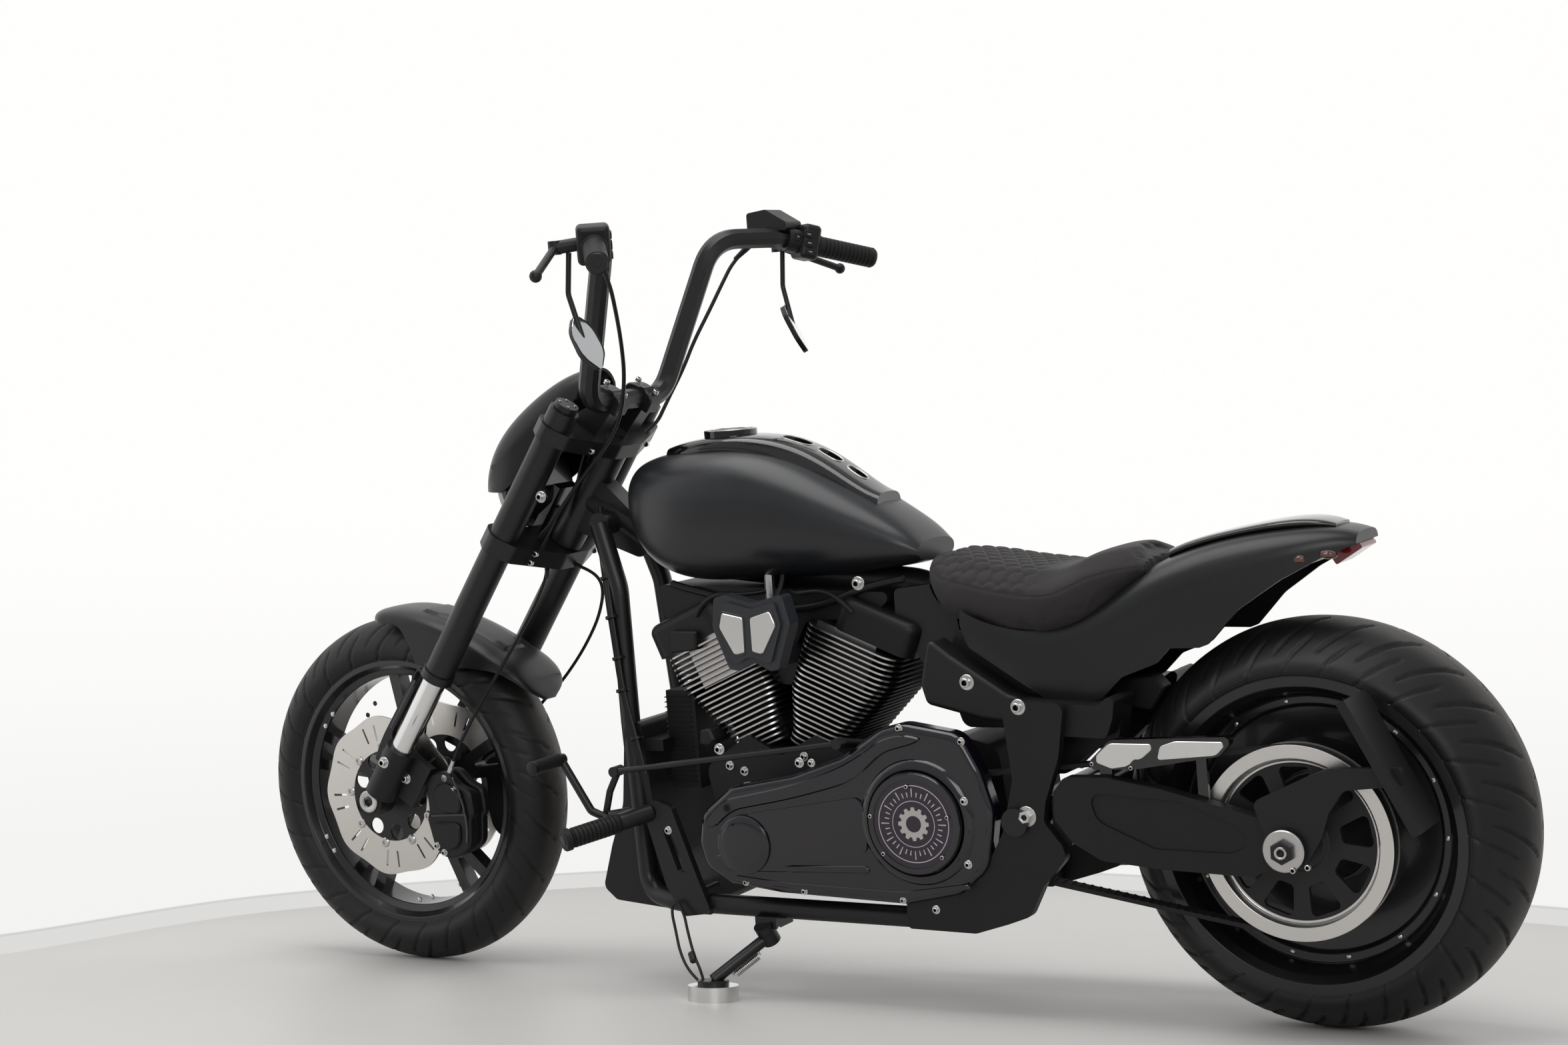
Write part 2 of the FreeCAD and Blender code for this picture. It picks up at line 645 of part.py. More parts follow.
def mirrors(top, housing):
    """Thin stems that hang from the hand controls, each with a leaf-shaped glass."""
    end = top + Vector(-14, -3, -145)
    stem = bent_rod([tuple(top), tuple(top + Vector(6, 2, -66)), tuple(end)], 4.5, 30)
    leaf = [(-54, 0, 10), (-22, 25, 34), (24, 27, 34), (55, 0, 12), (24, -23, 34), (-22, -25, 34)]
    glass = face_of(rounded(leaf), Placement()).extrude(Vector(0, 0, 8))
    facing = Vector(0.84, -0.30, -0.42)
    glass.Placement = Placement(end + Vector(-6, -2, 0), Rotation(Vector(0.42, 0, 0.9), Vector(0, -1, 0), facing, "ZXY"))
    add("mirrors", both_sides(joined(stem, glass).cut(housing)))


def headlamp():
    centre = on_fork(54, 0, LOWER_CLAMP + 92)
    way = Vector(1, 0, -0.12).normalize()
    bowl = Part.makeCone(46, 74, 62, centre - way * 42, way)
    rim = Part.makeCylinder(76, 14, centre + way * 20, way)
    dome = Part.makeSphere(150, centre + way * (34 - 128)).common(
        Part.makeCylinder(72, 40, centre + way * 34, way))
    ear = centre + Vector(26, 0, 40)
    ears = rod((ear.x, -97, ear.z), (ear.x, 97, ear.z), 5)
    lamp = joined(bowl, rim, dome, ears)
    seat_height = LOWER_CLAMP + size("lower_clamp_depth")
    bracket = forked(Part.makeBox(50, 30, 24, Vector(6, -15, seat_height + 16)))
    plate = forked(Part.makeBox(16, 60, 90, Vector(-4, -30, seat_height)))
    add("headlamp", joined(lamp, bracket, plate))
    return lamp


def cowl(lamp):
    shift = on_fork(0, 0, size("fork_height")) - Vector(1268, 0, 1018)
    outer = [(1283, 1018, 1086, 62), (1330, 976, 1074, 82), (1385, 924, 1044, 96), (1440, 890, 1000, 100),
             (1474, 868, 960, 88), (1494, 864, 922, 64)]
    sections = [ring_section(x + shift.x, low - 90 + shift.z, high + shift.z, half, 2.8)
                for x, low, high, half in outer]
    inner = [ring_section(x + shift.x, low - 100 + shift.z, high - 5 + shift.z, half - 5, 2.8)
             for x, low, high, half in outer]
    whole = Part.makeLoft(sections, True, False)
    hollow = Part.makeLoft(inner, True, False)
    shell = whole.cut(hollow)
    keep_above = side_slab([(1270, 1100), (1510, 1100), (1510, 880), (1440, 878), (1376, 916), (1290, 1034)], -120, 120)
    keep_above.translate(shift)
    shell = shell.common(keep_above)
    pieces = sorted(shell.cut(lamp).Solids, key=lambda solid: solid.Volume)
    add("cowl", pieces[-1])


# Fender stations: angle round the wheel, crown kick, skirt depth
FENDER_STATIONS = [(86, 0, 4), (96, 0, 22), (107, 0, 66), (118, 2, 58), (130, 8, 34), (143, 28, 12), (154, 66, 3)]


def fender_section(turn, kick, skirt):
    """Thin section of the front fender, in the plane through the wheel's axle."""
    radius = size("front_radius") + size("fender_gap") + kick
    half = size("front_width") / 2 + size("fender_gap")
    wall = size("fender_wall")
    left = [(radius - skirt - 26, half), (radius - 22, half), (radius - 6, half - 22), (radius, half - 46)]
    inner = [(radius - skirt - 26, half - wall), (radius - 22, half - wall), (radius - 6 - wall, half - 22 - wall / 2),
             (radius - wall, half - 46)]
    ring = left + [(a, -b) for a, b in reversed(left)] + [(a, -b) for a, b in inner] + list(reversed(inner))
    angle = math.radians(turn)
    out = Vector(math.cos(angle), 0, math.sin(angle))
    points = [FRONT_AXLE + out * a + Vector(0, b, 0) for a, b in ring]
    return Part.makePolygon(points + [points[0]])


def front_fender():
    """Fender shell and the struts that hold it ahead of the fork legs."""
    fender = Part.makeLoft([fender_section(*station) for station in FENDER_STATIONS], True, True)
    low = size("disc_plane") + 9
    high = low + 14
    strut = side_slab([(6, 62, 4), (56, 52, 6), (62, 96, 20), (56, 262, 6), (42, 262, 6), (46, 112, 16),
                       (6, 92, 4)], low, high)
    skirt = size("front_width") / 2 + size("fender_gap")
    pad = side_slab([(56, 262, 6), (42, 262, 6), (42, 226, 6), (56, 226, 6)], skirt - 1, high)
    return fender, forked(strut), forked(pad)


def steering():
    outers, casting = fork()
    clamps()
    top = handlebar()
    mirrors(top, built("hand_controls"))
    cowl(headlamp())
    fender, strut, pad = front_fender()
    half = strut.fuse(pad).cut([forked(casting), forked(outers)])
    half = sorted(half.Solids, key=lambda solid: solid.Volume)[-1]
    add("front_fender", joined(fender, half, mirrored(half)))
    calipers()


def caliper_block(radius, angle, plane, length, depth):
    """Brake caliper over a disc's edge, drawn round the wheel's axle at the origin."""
    half = depth / 2
    body = Part.makeBox(78, depth, length, Vector(-34, -half, -length / 2))
    body = body.makeFillet(12, [edge for edge in body.Edges if edge.Length > length - 4])
    slot = Part.makeBox(66, size("disc_depth") + 12, length + 20,
                        Vector(-38, -size("disc_depth") / 2 - 6, -length / 2 - 10))
    body = body.cut(slot)
    turn = math.radians(angle)
    centre = Vector(radius * math.cos(turn), plane, radius * math.sin(turn))
    body.Placement = Placement(centre, Rotation(Vector(0, 1, 0), -angle))
    return body


def calipers():
    block = caliper_block(size("disc_radius") - 22, 152, size("disc_plane"), 124, 66)
    block.translate(Vector(size("fork_lead"), 0, 0))
    leg = Part.makeCylinder(size("stanchion_radius") + 8, 102, Vector(0, size("fork_half"), 20))
    block = forked(block.cut([caliper_lug_shape(), leg]))
    add("front_calipers", both_sides(sorted(block.Solids, key=lambda solid: solid.Volume)[-1]))


# Frame

def neck_ends():
    low = LOWER_CLAMP + size("lower_clamp_depth") + 2
    high = UPPER_CLAMP - 2
    back = -size("stem_back")
    return on_fork(back, 0, low), on_fork(back, 0, high)


def frame():
    low, high = neck_ends()
    neck = rod(tuple(low), tuple(high), size("neck_radius"))
    middle = (low + high) * 0.5
    spine = bent_rod([(middle.x, 0, middle.z), (1130, 0, 742), (660, 0, 688), (470, 0, 560)],
                     size("spine_radius"), 120)
    gusset = side_slab([(middle.x + 20, middle.z - 60, 4), (middle.x - 30, middle.z + 40, 4), (1190, 800, 20),
                        (1190, 740, 20)], -22, 22)
    cross = rod((1262, -64, 812), (1262, 64, 812), 20)
    backbone = joined(neck, spine, gusset, cross).cut(
        rod(tuple(low + DOWN * 20), tuple(high - DOWN * 20), size("stem_radius") + size("bearing_gap")))
    add("frame_backbone", backbone)
    rail = bent_rod([(1262, 62, 812), (1226, 70, 700), (1214, 84, 470), (1180, 116, 178),
                     (1110, 136, 168), (560, 152, 168)], size("tube_radius"), 90)
    rail = rail.cut(rod((1262, -64, 812), (1262, 64, 812), 20))
    add("frame_rails", Part.makeCompound([joined(rail, stand_bracket()), mirrored(rail)]))
    return rail


PLATE_OUTLINE = [(346, 524, 14), (452, 530, 14), (444, 450, 30), (440, 404, 30), (462, 321, 40), (488, 276, 40),
                 (536, 226, 30), (640, 204, 8), (640, 160, 8), (520, 158, 20), (462, 176, 20), (424, 190, 20),
                 (399, 238, 20), (357, 284, 20), (363, 304, 10), (392, 340, 20), (386, 372, 14), (360, 440, 30)]


def frame_plates():
    """Castings outside the belt, with a thick foot on the rail and a thick head."""
    body = side_body("frame_plate", PLATE_OUTLINE, "sizes.arm_inner", "sizes.plate_outer")
    doc.recompute()
    foot = side_slab([(528, 200, 6), (632, 196, 6), (632, 156, 6), (528, 156, 10)], 140, size("arm_inner"))
    head = side_slab([(402, 524, 8), (446, 524, 8), (446, 470, 8), (412, 470, 8)], 128, size("arm_inner"))
    rear = side_slab([(440, 526, 10), (300, 518, 14), (266, 541, 8), (276, 500, 14), (282, 462, 14),
                      (330, 442, 20), (372, 405, 20), (440, 402, 14)], 92, 134)
    shoulder = side_slab([(440, 526, 10), (300, 518, 14), (268, 541, 8), (274, 500, 14), (286, 468, 14),
                          (440, 474, 10)], 134, size("arm_inner"))
    head = joined(head, rear, shoulder)
    return body, foot, head


def swingarm():
    outline = [(369, 388, 10), (350, 412, 12), (281, 413, 30), (195, 398, 40), (68, 366, 20), (-4, 346, 10),
               (-16, 330, 10), (-14, 300, 12), (58, 270, 20), (203, 276, 40), (295, 285, 40), (340, 310, 16),
               (369, 346, 10)]
    body = side_body("swingarm", outline, "sizes.arm_inner", "sizes.arm_outer")
    return body


def build_frame():
    rail = frame()
    plate_body, foot, head = frame_plates()
    plate_shape = joined(plate_body.Shape, foot, head)
    pivot = rod((size("pivot_x"), -size("plate_outer") - 6, size("pivot_z")),
                (size("pivot_x"), size("plate_outer") + 6, size("pivot_z")), size("pivot_radius"))
    plate_shape = plate_shape.cut([rail, pivot, built("primary_cover")])
    plate_shape = sorted(plate_shape.Solids, key=lambda solid: solid.Volume)[-1]
    add("frame_plates", both_sides(plate_shape))
    doc.removeObject(plate_body.Name)
    arm = swingarm()
    doc.recompute()
    axle = rod((0, -size("rear_axle_half"), REAR_AXLE.z), (0, size("rear_axle_half"), REAR_AXLE.z),
               size("axle_radius"))
    arm_shape = arm.Shape.cut([axle, plate_shape])
    recess = side_slab([(312, 390, 20), (162, 380, 30), (74, 345, 20), (56, 318, 14), (88, 304, 14), (208, 306, 40),
                        (300, 346, 30)], size("arm_outer") - 3, size("arm_outer") + 3)
    arm_shape = arm_shape.cut(recess)
    pieces = sorted(arm_shape.Solids, key=lambda solid: solid.Volume)
    arm_shape = pieces[-1]
    add("swingarm_arms", both_sides(arm_shape))
    doc.removeObject(arm.Name)
    inner = size("arm_inner")
    beam = box((352, -inner, 300), (384, inner, 378))
    beam = beam.makeFillet(8, [edge for edge in beam.Edges if edge.Length > 200])
    hub = rod((size("pivot_x"), -118, size("pivot_z")), (size("pivot_x"), 118, size("pivot_z")), 28)
    webs = [box((370, side * 84 - 14, 318), (438, side * 84 + 14, 362)) for side in (1, -1)]
    caps = [rod((size("pivot_x"), side * (size("plate_outer")), size("pivot_z")),
                (size("pivot_x"), side * (size("plate_outer") + 8), size("pivot_z")), 22) for side in (1, -1)]
    add("swingarm_bridge", joined(beam, hub, pivot, *webs, *caps))
    arm_face = size("arm_outer")
    nuts = [rod((0, side * arm_face, REAR_AXLE.z), (0, side * (arm_face + 14), REAR_AXLE.z), 22)
            for side in (1, -1)]
    spacer_left = rod((0, size("belt_plane") + 20, REAR_AXLE.z), (0, size("arm_inner"), REAR_AXLE.z), 19)
    hole = rod((0, -400, REAR_AXLE.z), (0, 400, REAR_AXLE.z), size("axle_bore"))
    add("rear_axle", axle.fuse(nuts + [spacer_left]).cut(hole))


# Engine

def cylinder_frame(side):
    """Frame of one cylinder: Z up its bore from the crankshaft."""
    turn = side * size("vee_half")
    return Placement(Vector(size("crank_x"), 0, size("crank_z")), Rotation(Vector(0, 1, 0), turn))


def fin_block(low, high, half_y, core_x, core_y):
    """Core with fins up the bore, longer towards the top and on the outer side."""
    core = box((-core_x, -core_y, low), (core_x, core_y, high))
    fins = []
    height = low + 2
    while height + size("fin_depth") < high:
        share = max(0, min(1, (height - 150) / 130))
        outer = 50 + 56 * share
        inner = 54 + 24 * min(1, 2 * share)
        outline = [(outer, half_y, 34), (-inner, half_y, 34), (-inner, -half_y, 34), (outer, -half_y, 34)]
        fins.append(plan_slab(outline, height, height + size("fin_depth")))
        height += size("fin_pitch")
    return core.fuse(fins)


def engine():
    case_half = size("case_half")
    cx = size("crank_x")
    cz = size("crank_z")
    case = side_slab([(cx - 150, cz + 100, 20), (cx - 64, cz + 146, 6), (cx, cz + 112, 10),
                      (cx + 64, cz + 146, 6), (cx + 150, cz + 90, 24), (cx + 118, cz - 60, 40),
                      (cx + 70, cz - 116, 40), (cx - 120, cz - 116, 30), (cx - 150, cz - 60, 20)],
                     -case_half, case_half)
    gearbox = side_slab([(cx - 150, cz + 96, 6), (cx - 150, cz - 96, 6), (500, 204, 30), (486, 300, 30),
                         (500, 440, 30), (560, 456, 20)], -case_half, case_half + 10)
    barrels = []
    heads = []
    covers = []
    for side in (1, -1):
        place = cylinder_frame(side)
        barrel = fin_block(128, 262, 92, 48, 60)
        head = fin_block(262, 342, 96, 58, 80)
        cover = plan_slab([(122, 88, 26), (-30, 88, 26), (-30, -88, 26), (122, -88, 26)], 342, 400)
        cover = cover.makeFillet(16, [edge for edge in cover.Edges if edge.BoundBox.ZMin > 399])
        for shape, group in ((barrel, barrels), (head, heads), (cover, covers)):
            if side < 0:
                shape = shape.mirror(Vector(0, 0, 0), Vector(1, 0, 0))
            shape.Placement = place.multiply(shape.Placement)
            group.append(shape)
    add("engine_case", joined(case.cut(barrels), gearbox, front_pulley()))
    split_low = side_slab([(cx, cz), (cx + 400, cz), (cx + 400, 760), (cx, 760)], -200, 200)
    fronts = [shape.common(split_low) for shape in (barrels[0].fuse(heads[0]), covers[0])]
    split_high = side_slab([(cx - 400, cz), (cx, cz), (cx, 760), (cx - 400, 760)], -200, 200)
    rears = [shape.common(split_high) for shape in (barrels[1].fuse(heads[1]), covers[1])]
    for name, front, rear in zip(("cylinders", "rocker_covers"), fronts, rears):
        spine = built("frame_backbone")
        add(name, Part.makeCompound([front.cut(spine).Solids[0], rear.cut(spine).Solids[0]]))


def front_pulley():
    """Belt pulley and its shaft between the gearbox and the primary cover."""
    x, z = size("clutch_x"), size("clutch_z")
    half = size("belt_width") / 2 + 3
    drum = rod((x, size("belt_plane") - half, z), (x, size("belt_plane") + half, z),
               size("belt_front_radius") - size("belt_root") - size("belt_tooth") - 0.4)
    return drum.fuse(rod((x, size("case_half"), z), (x, size("primary_inner"), z), 24))


def primary():
    outline = [(1018, 286, 30), (1010, 336, 40), (950, 382, 30), (830, 404, 60), (736, 436, 60), (664, 482, 40),
               (622, 492, 50), (522, 476, 40), (492, 420, 50), (471, 353, 60), (488, 262, 50), (540, 220, 40),
               (636, 200, 50), (868, 208, 60), (964, 220, 40), (1008, 246, 40)]
    slab = side_slab(outline, size("primary_inner"), size("primary_outer"))
    front = [(1010, 286, 30), (1002, 334, 40), (946, 376, 30), (800, 396, 30), (756, 380, 30), (756, 240, 30),
             (800, 214, 30), (868, 214, 50), (960, 226, 40)]
    inner = side_slab(front, size("case_half"), size("primary_inner"))
    rims = [edge for edge in slab.Edges if abs(edge.BoundBox.YMin - size("primary_outer")) < 0.01
            and abs(edge.BoundBox.YMax - size("primary_outer")) < 0.01]
    slab = slab.makeFillet(12, rims)
    face = size("primary_outer")
    plateau = side_slab([(930, 337, 30), (704, 373, 16), (692, 330, 20), (698, 282, 16), (930, 241, 30)],
                        face - 4, face + 4)
    bulge = rod((925, face - 4, 288), (925, face + 9, 288), 49)
    bulge = bulge.makeFillet(4, [edge for edge in bulge.Edges if edge.BoundBox.YMin > face + 5])
    add("primary_cover", joined(slab, inner, plateau, bulge))
    disc = rod((size("clutch_x"), size("primary_outer"), size("clutch_z")),
               (size("clutch_x"), size("primary_outer") + size("clutch_depth"), size("clutch_z")),
               size("clutch_radius"))
    disc = disc.makeFillet(4, [edge for edge in disc.Edges if edge.BoundBox.YMin > size("primary_outer") + 1])
    add("clutch_cover", disc)


def right_side():
    cx = size("crank_x")
    cz = size("crank_z")
    case_half = size("case_half")
    cam = side_slab([(cx - 96, cz - 60, 40), (cx - 110, cz + 60, 50), (cx - 30, cz + 108, 40),
                     (cx + 60, cz + 108, 40), (cx + 116, cz + 40, 50), (cx + 90, cz - 70, 40), (cx, cz - 96, 50)],
                    -case_half - 42, -case_half)
    add("cam_cover", cam)
    filter_z = cz + 262
    can = rod((cx, -208, filter_z), (cx, -134, filter_z), 84)
    throat = rod((cx, -134, filter_z), (cx, 62, filter_z), 36)
    log = rod((cx - 70, 0, filter_z - 4), (cx + 70, 0, filter_z - 4), 26)
    tray = side_slab([(1150, 704, 10), (690, 684, 10), (740, 640, 20), (860, 640, 20), (905, 560, 20), (950, 640, 20),
                      (1140, 640, 20)], -62, 62)
    intake = joined(can, throat, log, tray).cut(
        [built("cylinders"), built("rocker_covers"), built("frame_backbone")])
    add("air_cleaner", sorted(intake.Solids, key=lambda solid: solid.Volume)[-1])


def drive_belt():
    """Closed band round both pulleys, drawn in X and Z."""
    big = (0, REAR_AXLE.z, size("belt_radius"))
    small = (size("clutch_x"), size("clutch_z"), size("belt_front_radius"))
    outer = belt_loop(big, small, size("belt_back"))
    inner = belt_loop(big, small, -size("belt_root") - size("belt_tooth"))
    high = size("belt_plane") + size("belt_width") / 2
    band = face_of(outer, side_plane(high)).cut(face_of(inner, side_plane(high)))
    add("drive_belt", band.extrude(Vector(0, -size("belt_width"), 0)))


def belt_loop(big, small, offset):
    """Outline that wraps two round pulleys, moved out by an offset."""
    big_r = big[2] + offset
    small_r = small[2] + offset
    way = Vector(small[0] - big[0], small[1] - big[1], 0)
    span = way.Length
    slope = math.atan2(way.y, way.x)
    lift = math.acos((big_r - small_r) / span)
    points = []
    for centre, radius, turns in ((big, big_r, (slope + lift, slope + math.pi, slope - lift)),
                                  (small, small_r, (slope - lift, slope, slope + lift))):
        points.append([Vector(centre[0] + radius * math.cos(turn), centre[1] + radius * math.sin(turn), 0)
                       for turn in turns])
    return [Part.Arc(*points[0]), Part.LineSegment(points[0][2], points[1][0]),
            Part.Arc(*points[1]), Part.LineSegment(points[1][2], points[0][0])]


def rear_pulley():
    low = size("belt_plane") - size("belt_width") / 2
    high = size("belt_plane") + size("belt_width") / 2
    drum = size("belt_radius") - size("belt_root") - size("belt_tooth") - 0.4
    flange = size("belt_radius") + 3.8
    outline = rounded([(low - 4, HUB_BORE), (low - 4, 56, 2), (low + 4, 60, 3), (low + 6, drum - 14, 3),
                       (low - 3.5, drum - 10, 1), (low - 3.5, flange), (low - 1, flange), (low - 1, drum),
                       (high + 0.8, drum), (high + 0.8, flange, 0.5), (high + 3, flange, 0.5),
                       (high + 3, drum - 12, 2), (low + 14, drum - 16, 3), (low + 14, 46, 4), (low + 20, 40, 3),
                       (low + 20, HUB_BORE)])
    body = spun_body("rear_pulley", outline, REAR_AXLE)
    window = rounded([(-12, 66, 8), (-26, drum - 26, 8), (26, drum - 26, 8), (12, 66, 8)])
    sketch = sketch_on(body, "XZ_Plane", window, "pulley_window_outline")
    pocket = body.newObject("PartDesign::Pocket", "pulley_window")
    pocket.Profile = sketch
    pocket.Type = "ThroughAll"
    pocket.Reversed = False
    pocket.Midplane = True
    repeat_round(body, pocket, 9, "pulley_windows")
    keep("rear_pulley", body)


# Bodywork

def tank_shape(grow=0.0):
    half = size("tank_half")
    stations = [(1194, 800, 908, 0.52), (1160, 742, 930, 0.78), (1100, 712, 940, 0.95), (1010, 706, 946, 1.0),
                (900, 708, 930, 0.97), (790, 712, 880, 0.86), (700, 722, 826, 0.70), (640, 732, 776, 0.52)]
    return sectioned([(x, low, high - size("console_raise"), half * share + grow, 2.5)
                      for x, low, high, share in stations])


def tank():
    body = tank_shape().cut(built("frame_backbone"))
    bodies = sorted(body.Solids, key=lambda solid: solid.Volume)
    tank_solid = bodies[-1]
    stations = [(1130, 900, 938, 34), (1083, 910, 948, 52), (1017, 915, 954, 60), (934, 900, 950, 58),
                (834, 860, 916, 52), (721, 800, 846, 42)]
    console = sectioned([(x, low, high, half, 3.2) for x, low, high, half in stations])
    console = console.cut(tank_solid)
    tops = sorted(console.Solids, key=lambda solid: solid.BoundBox.ZMax)
    cap = rod((1018, 0, 930), (1018, 0, 962), 46)
    add("fuel_cap", cap.cut(tank_solid))
    holes = [rod((1018, 0, 900), (1018, 0, 970), 46)]
    for x, run, half_y in ((887, 26, 19), (826, 20, 15), (776, 16, 12)):
        holes.append(plan_slab([(x + run, half_y, half_y), (x - run, half_y, half_y), (x - run, -half_y, half_y),
                                (x + run, -half_y, half_y)], 800, 960))
    add("tank_console", sorted(tops[-1].cut(holes).Solids, key=lambda solid: solid.Volume)[-1])
    add("fuel_tank", tank_solid)


def seat():
    half = size("seat_half")
    stations = [(628, 700, 748, 0.42), (590, 650, 745, 0.70), (530, 628, 735, 0.88), (460, 616, 724, 0.97),
                (388, 618, 719, 1.0), (330, 634, 740, 0.94), (280, 672, 746, 0.80), (236, 700, 736, 0.62)]
    body = sectioned([(x, low, high, half * share, 3.0) for x, low, high, share in stations])
    return body


TAIL_OUTLINE = [(526, 603, 8), (427, 541, 20), (369, 505, 14), (307, 523, 20), (273, 556, 20), (218, 576, 20),
                (196, 599, 6), (150, 599, 6), (136, 604, 10), (88, 655, 60), (25, 697, 60), (-40, 730, 20),
                (-100, 752, 4), (-100, 820), (300, 820), (540, 720), (540, 640)]


def tail():
    """Open shell with near-upright sides, trimmed to its outline from the side."""
    stations = [(545, 560, 690, 136), (450, 500, 664, 140), (370, 460, 662, 139), (300, 470, 690, 134),
                (236, 510, 722, 127), (150, 540, 752, 118), (60, 590, 768, 106), (-20, 650, 772, 86),
                (-82, 700, 762, 57)]
    whole = sectioned([(x, low, high, half, 3.8) for x, low, high, half in stations])
    inner = sectioned([(x, low - 20, high - 7, half - 5, 3.8) for x, low, high, half in stations[:-1]])
    trim = side_slab(TAIL_OUTLINE, -170, 170)
    return whole.common(trim).cut(inner)


def bodywork():
    tank()
    seat_solid = seat()
    tail_solid = tail().cut([seat_solid, built("frame_plates")])
    tail_solid = sorted(tail_solid.Solids, key=lambda solid: solid.Volume)[-1]
    tank_solid = built("fuel_tank")
    spine = bent_rod([(1330, 0, 850), (1130, 0, 742), (660, 0, 688), (470, 0, 560)],
                     size("spine_radius"), 120)
    seat_solid = seat_solid.cut([tank_solid, spine])
    seat_solid = sorted(seat_solid.Solids, key=lambda solid: solid.Volume)[-1]
    add("seat", seat_solid)
    pad = sectioned([(214, 727, 744, 54, 3.4), (150, 748, 764, 58, 3.4), (60, 764, 780, 54, 3.4),
                     (-20, 768, 782, 42, 3.4), (-46, 767, 775, 34, 3.4)])
    add("tail_pad", sorted(pad.cut(tail_solid).Solids, key=lambda solid: solid.Volume)[-1])
    add("tail_section", tail_solid)
    lamp = side_slab([(-30, 735, 3), (-74, 752, 3), (-86, 738, 3), (-44, 712, 3)], -36, 36)
    add("tail_lamp", lamp.cut(tail_solid))
    oil = side_slab([(410, 470, 20), (420, 600, 30), (560, 636, 30), (590, 560, 20), (560, 470, 20)], -102, 102)
    front = side_slab([(590, 700, 10), (690, 690, 10), (690, 640, 20), (640, 560, 20), (560, 540, 20)], -66, 66)
    plates = [built(label) for label in ("frame_plates", "frame_backbone", "engine_case")]
    engine_parts = [built(label) for label in ("cylinders", "rocker_covers", "air_cleaner", "fuel_tank")]
    oil = joined(oil, front).cut(plates + engine_parts + [seat_solid, tail_solid])
    add("oil_tank", sorted(oil.Solids, key=lambda solid: solid.Volume)[-1])
    cover = side_slab([(594, 622, 10), (554, 592, 20), (459, 532, 20), (412, 516, 10), (420, 482, 10), (505, 490, 40),
                       (602, 514, 14), (611, 546, 12)], 102, 152)
    cover = cover.makeFillet(9, [edge for edge in cover.Edges if edge.BoundBox.YMin > 151])
    cover = cover.cut(plates + [seat_solid, tail_solid])
    add("side_covers", both_sides(sorted(cover.Solids, key=lambda solid: solid.Volume)[-1]))


def front_covers():
    chin = side_slab([(1214, 470, 20), (1230, 326, 60), (1260, 252, 40), (1284, 178, 16), (1258, 156, 16),
                      (1150, 146, 20), (1062, 146, 10), (1090, 190, 20), (1160, 230, 40), (1180, 470, 10)],
                     -104, 104)
    rails = built("frame_rails")
    add("chin_spoiler", sorted(chin.cut(rails).Solids, key=lambda solid: solid.Volume)[-1])
    block = box((1092, -64, 350), (1150, 64, 520))
    bar = box((1140, -100, 420), (1216, 100, 440))
    screen = side_slab([(1206, 700, 4), (1222, 700, 4), (1218, 430, 4), (1202, 430, 4)], -74, 74)
    regulator = joined(block, bar, screen).cut(
        [built(label) for label in ("frame_rails", "chin_spoiler", "cylinders", "rocker_covers")])
    add("regulator", sorted(regulator.Solids, key=lambda solid: solid.Volume)[-1])
    shield = [(966, 693, 8), (946, 698, 8), (893, 683, 40), (836, 698, 8), (824, 650, 12), (852, 574, 8),
              (868, 572, 8), (900, 589, 30), (930, 572, 8), (945, 575, 8), (972, 644, 12)]
    middle = (897, 638)
    ring = [(middle[0] + 0.8 * (x - middle[0]), middle[1] + 0.8 * (z - middle[1]), 0.8 * r) for x, z, r in shield]
    horn = joined(side_slab(shield, 150, 180), side_slab(ring, 176, 186))
    bell = rod((895, 106, 640), (895, 150, 640), 44)
    post = box((883, 52, 570), (907, 120, 600))
    heads = built("cylinders")
    covers = built("rocker_covers")
    horn = joined(horn, bell, post).cut([heads, covers, built("air_cleaner")])
    add("horn_cover", sorted(horn.Solids, key=lambda solid: solid.Volume)[-1])


def rear_parts():
    guard = side_slab([(309, 436, 6), (273, 470, 20), (72, 478, 30), (100, 448, 20), (233, 426, 30),
                       (303, 424, 6)], size("arm_inner") + 2, size("arm_outer") - 6)
    stays = [box((124, size("arm_inner") + 2, 374), (140, size("arm_inner") + 10, 450)),
             box((276, size("arm_inner") + 2, 400), (296, size("arm_inner") + 10, 440))]
    arm = built("swingarm_arms")
    add("belt_guard", joined(guard, *stays).cut(arm))
    arm_outer = size("arm_outer")
    plate_arm = side_slab([(47, 385, 12), (-40, 425, 20), (-71, 437, 12), (-176, 440, 6), (-178, 414, 6),
                           (-90, 405, 16), (-67, 371, 16), (-56, 337, 20), (-29, 292, 24), (24, 282, 24),
                           (30, 330, 20)], arm_outer, arm_outer + 12)
    nut = rod((0, arm_outer - 1, REAR_AXLE.z), (0, arm_outer + 14, REAR_AXLE.z), 22)
    panel = Part.makeBox(14, 102, 214, Vector(0, 138, 0))
    panel.Placement = Placement(Vector(-208, 0, 352), Rotation(Vector(0, 1, 0), 27.8))
    add("plate_holder", joined(plate_arm.cut(nut), panel))
    plane = -REAR_DISC_FACE - size("disc_depth") / 2
    caliper = caliper_block(size("rear_disc_radius") - 22, 40, plane, 104, 54)
    caliper.translate(REAR_AXLE)
    bracket = box((74, -size("arm_inner") - 10, 352), (112, plane - 20, 392))
    whole = joined(caliper, bracket).cut(built("swingarm_arms"))
    add("rear_caliper", sorted(whole.Solids, key=lambda solid: solid.Volume)[-1])


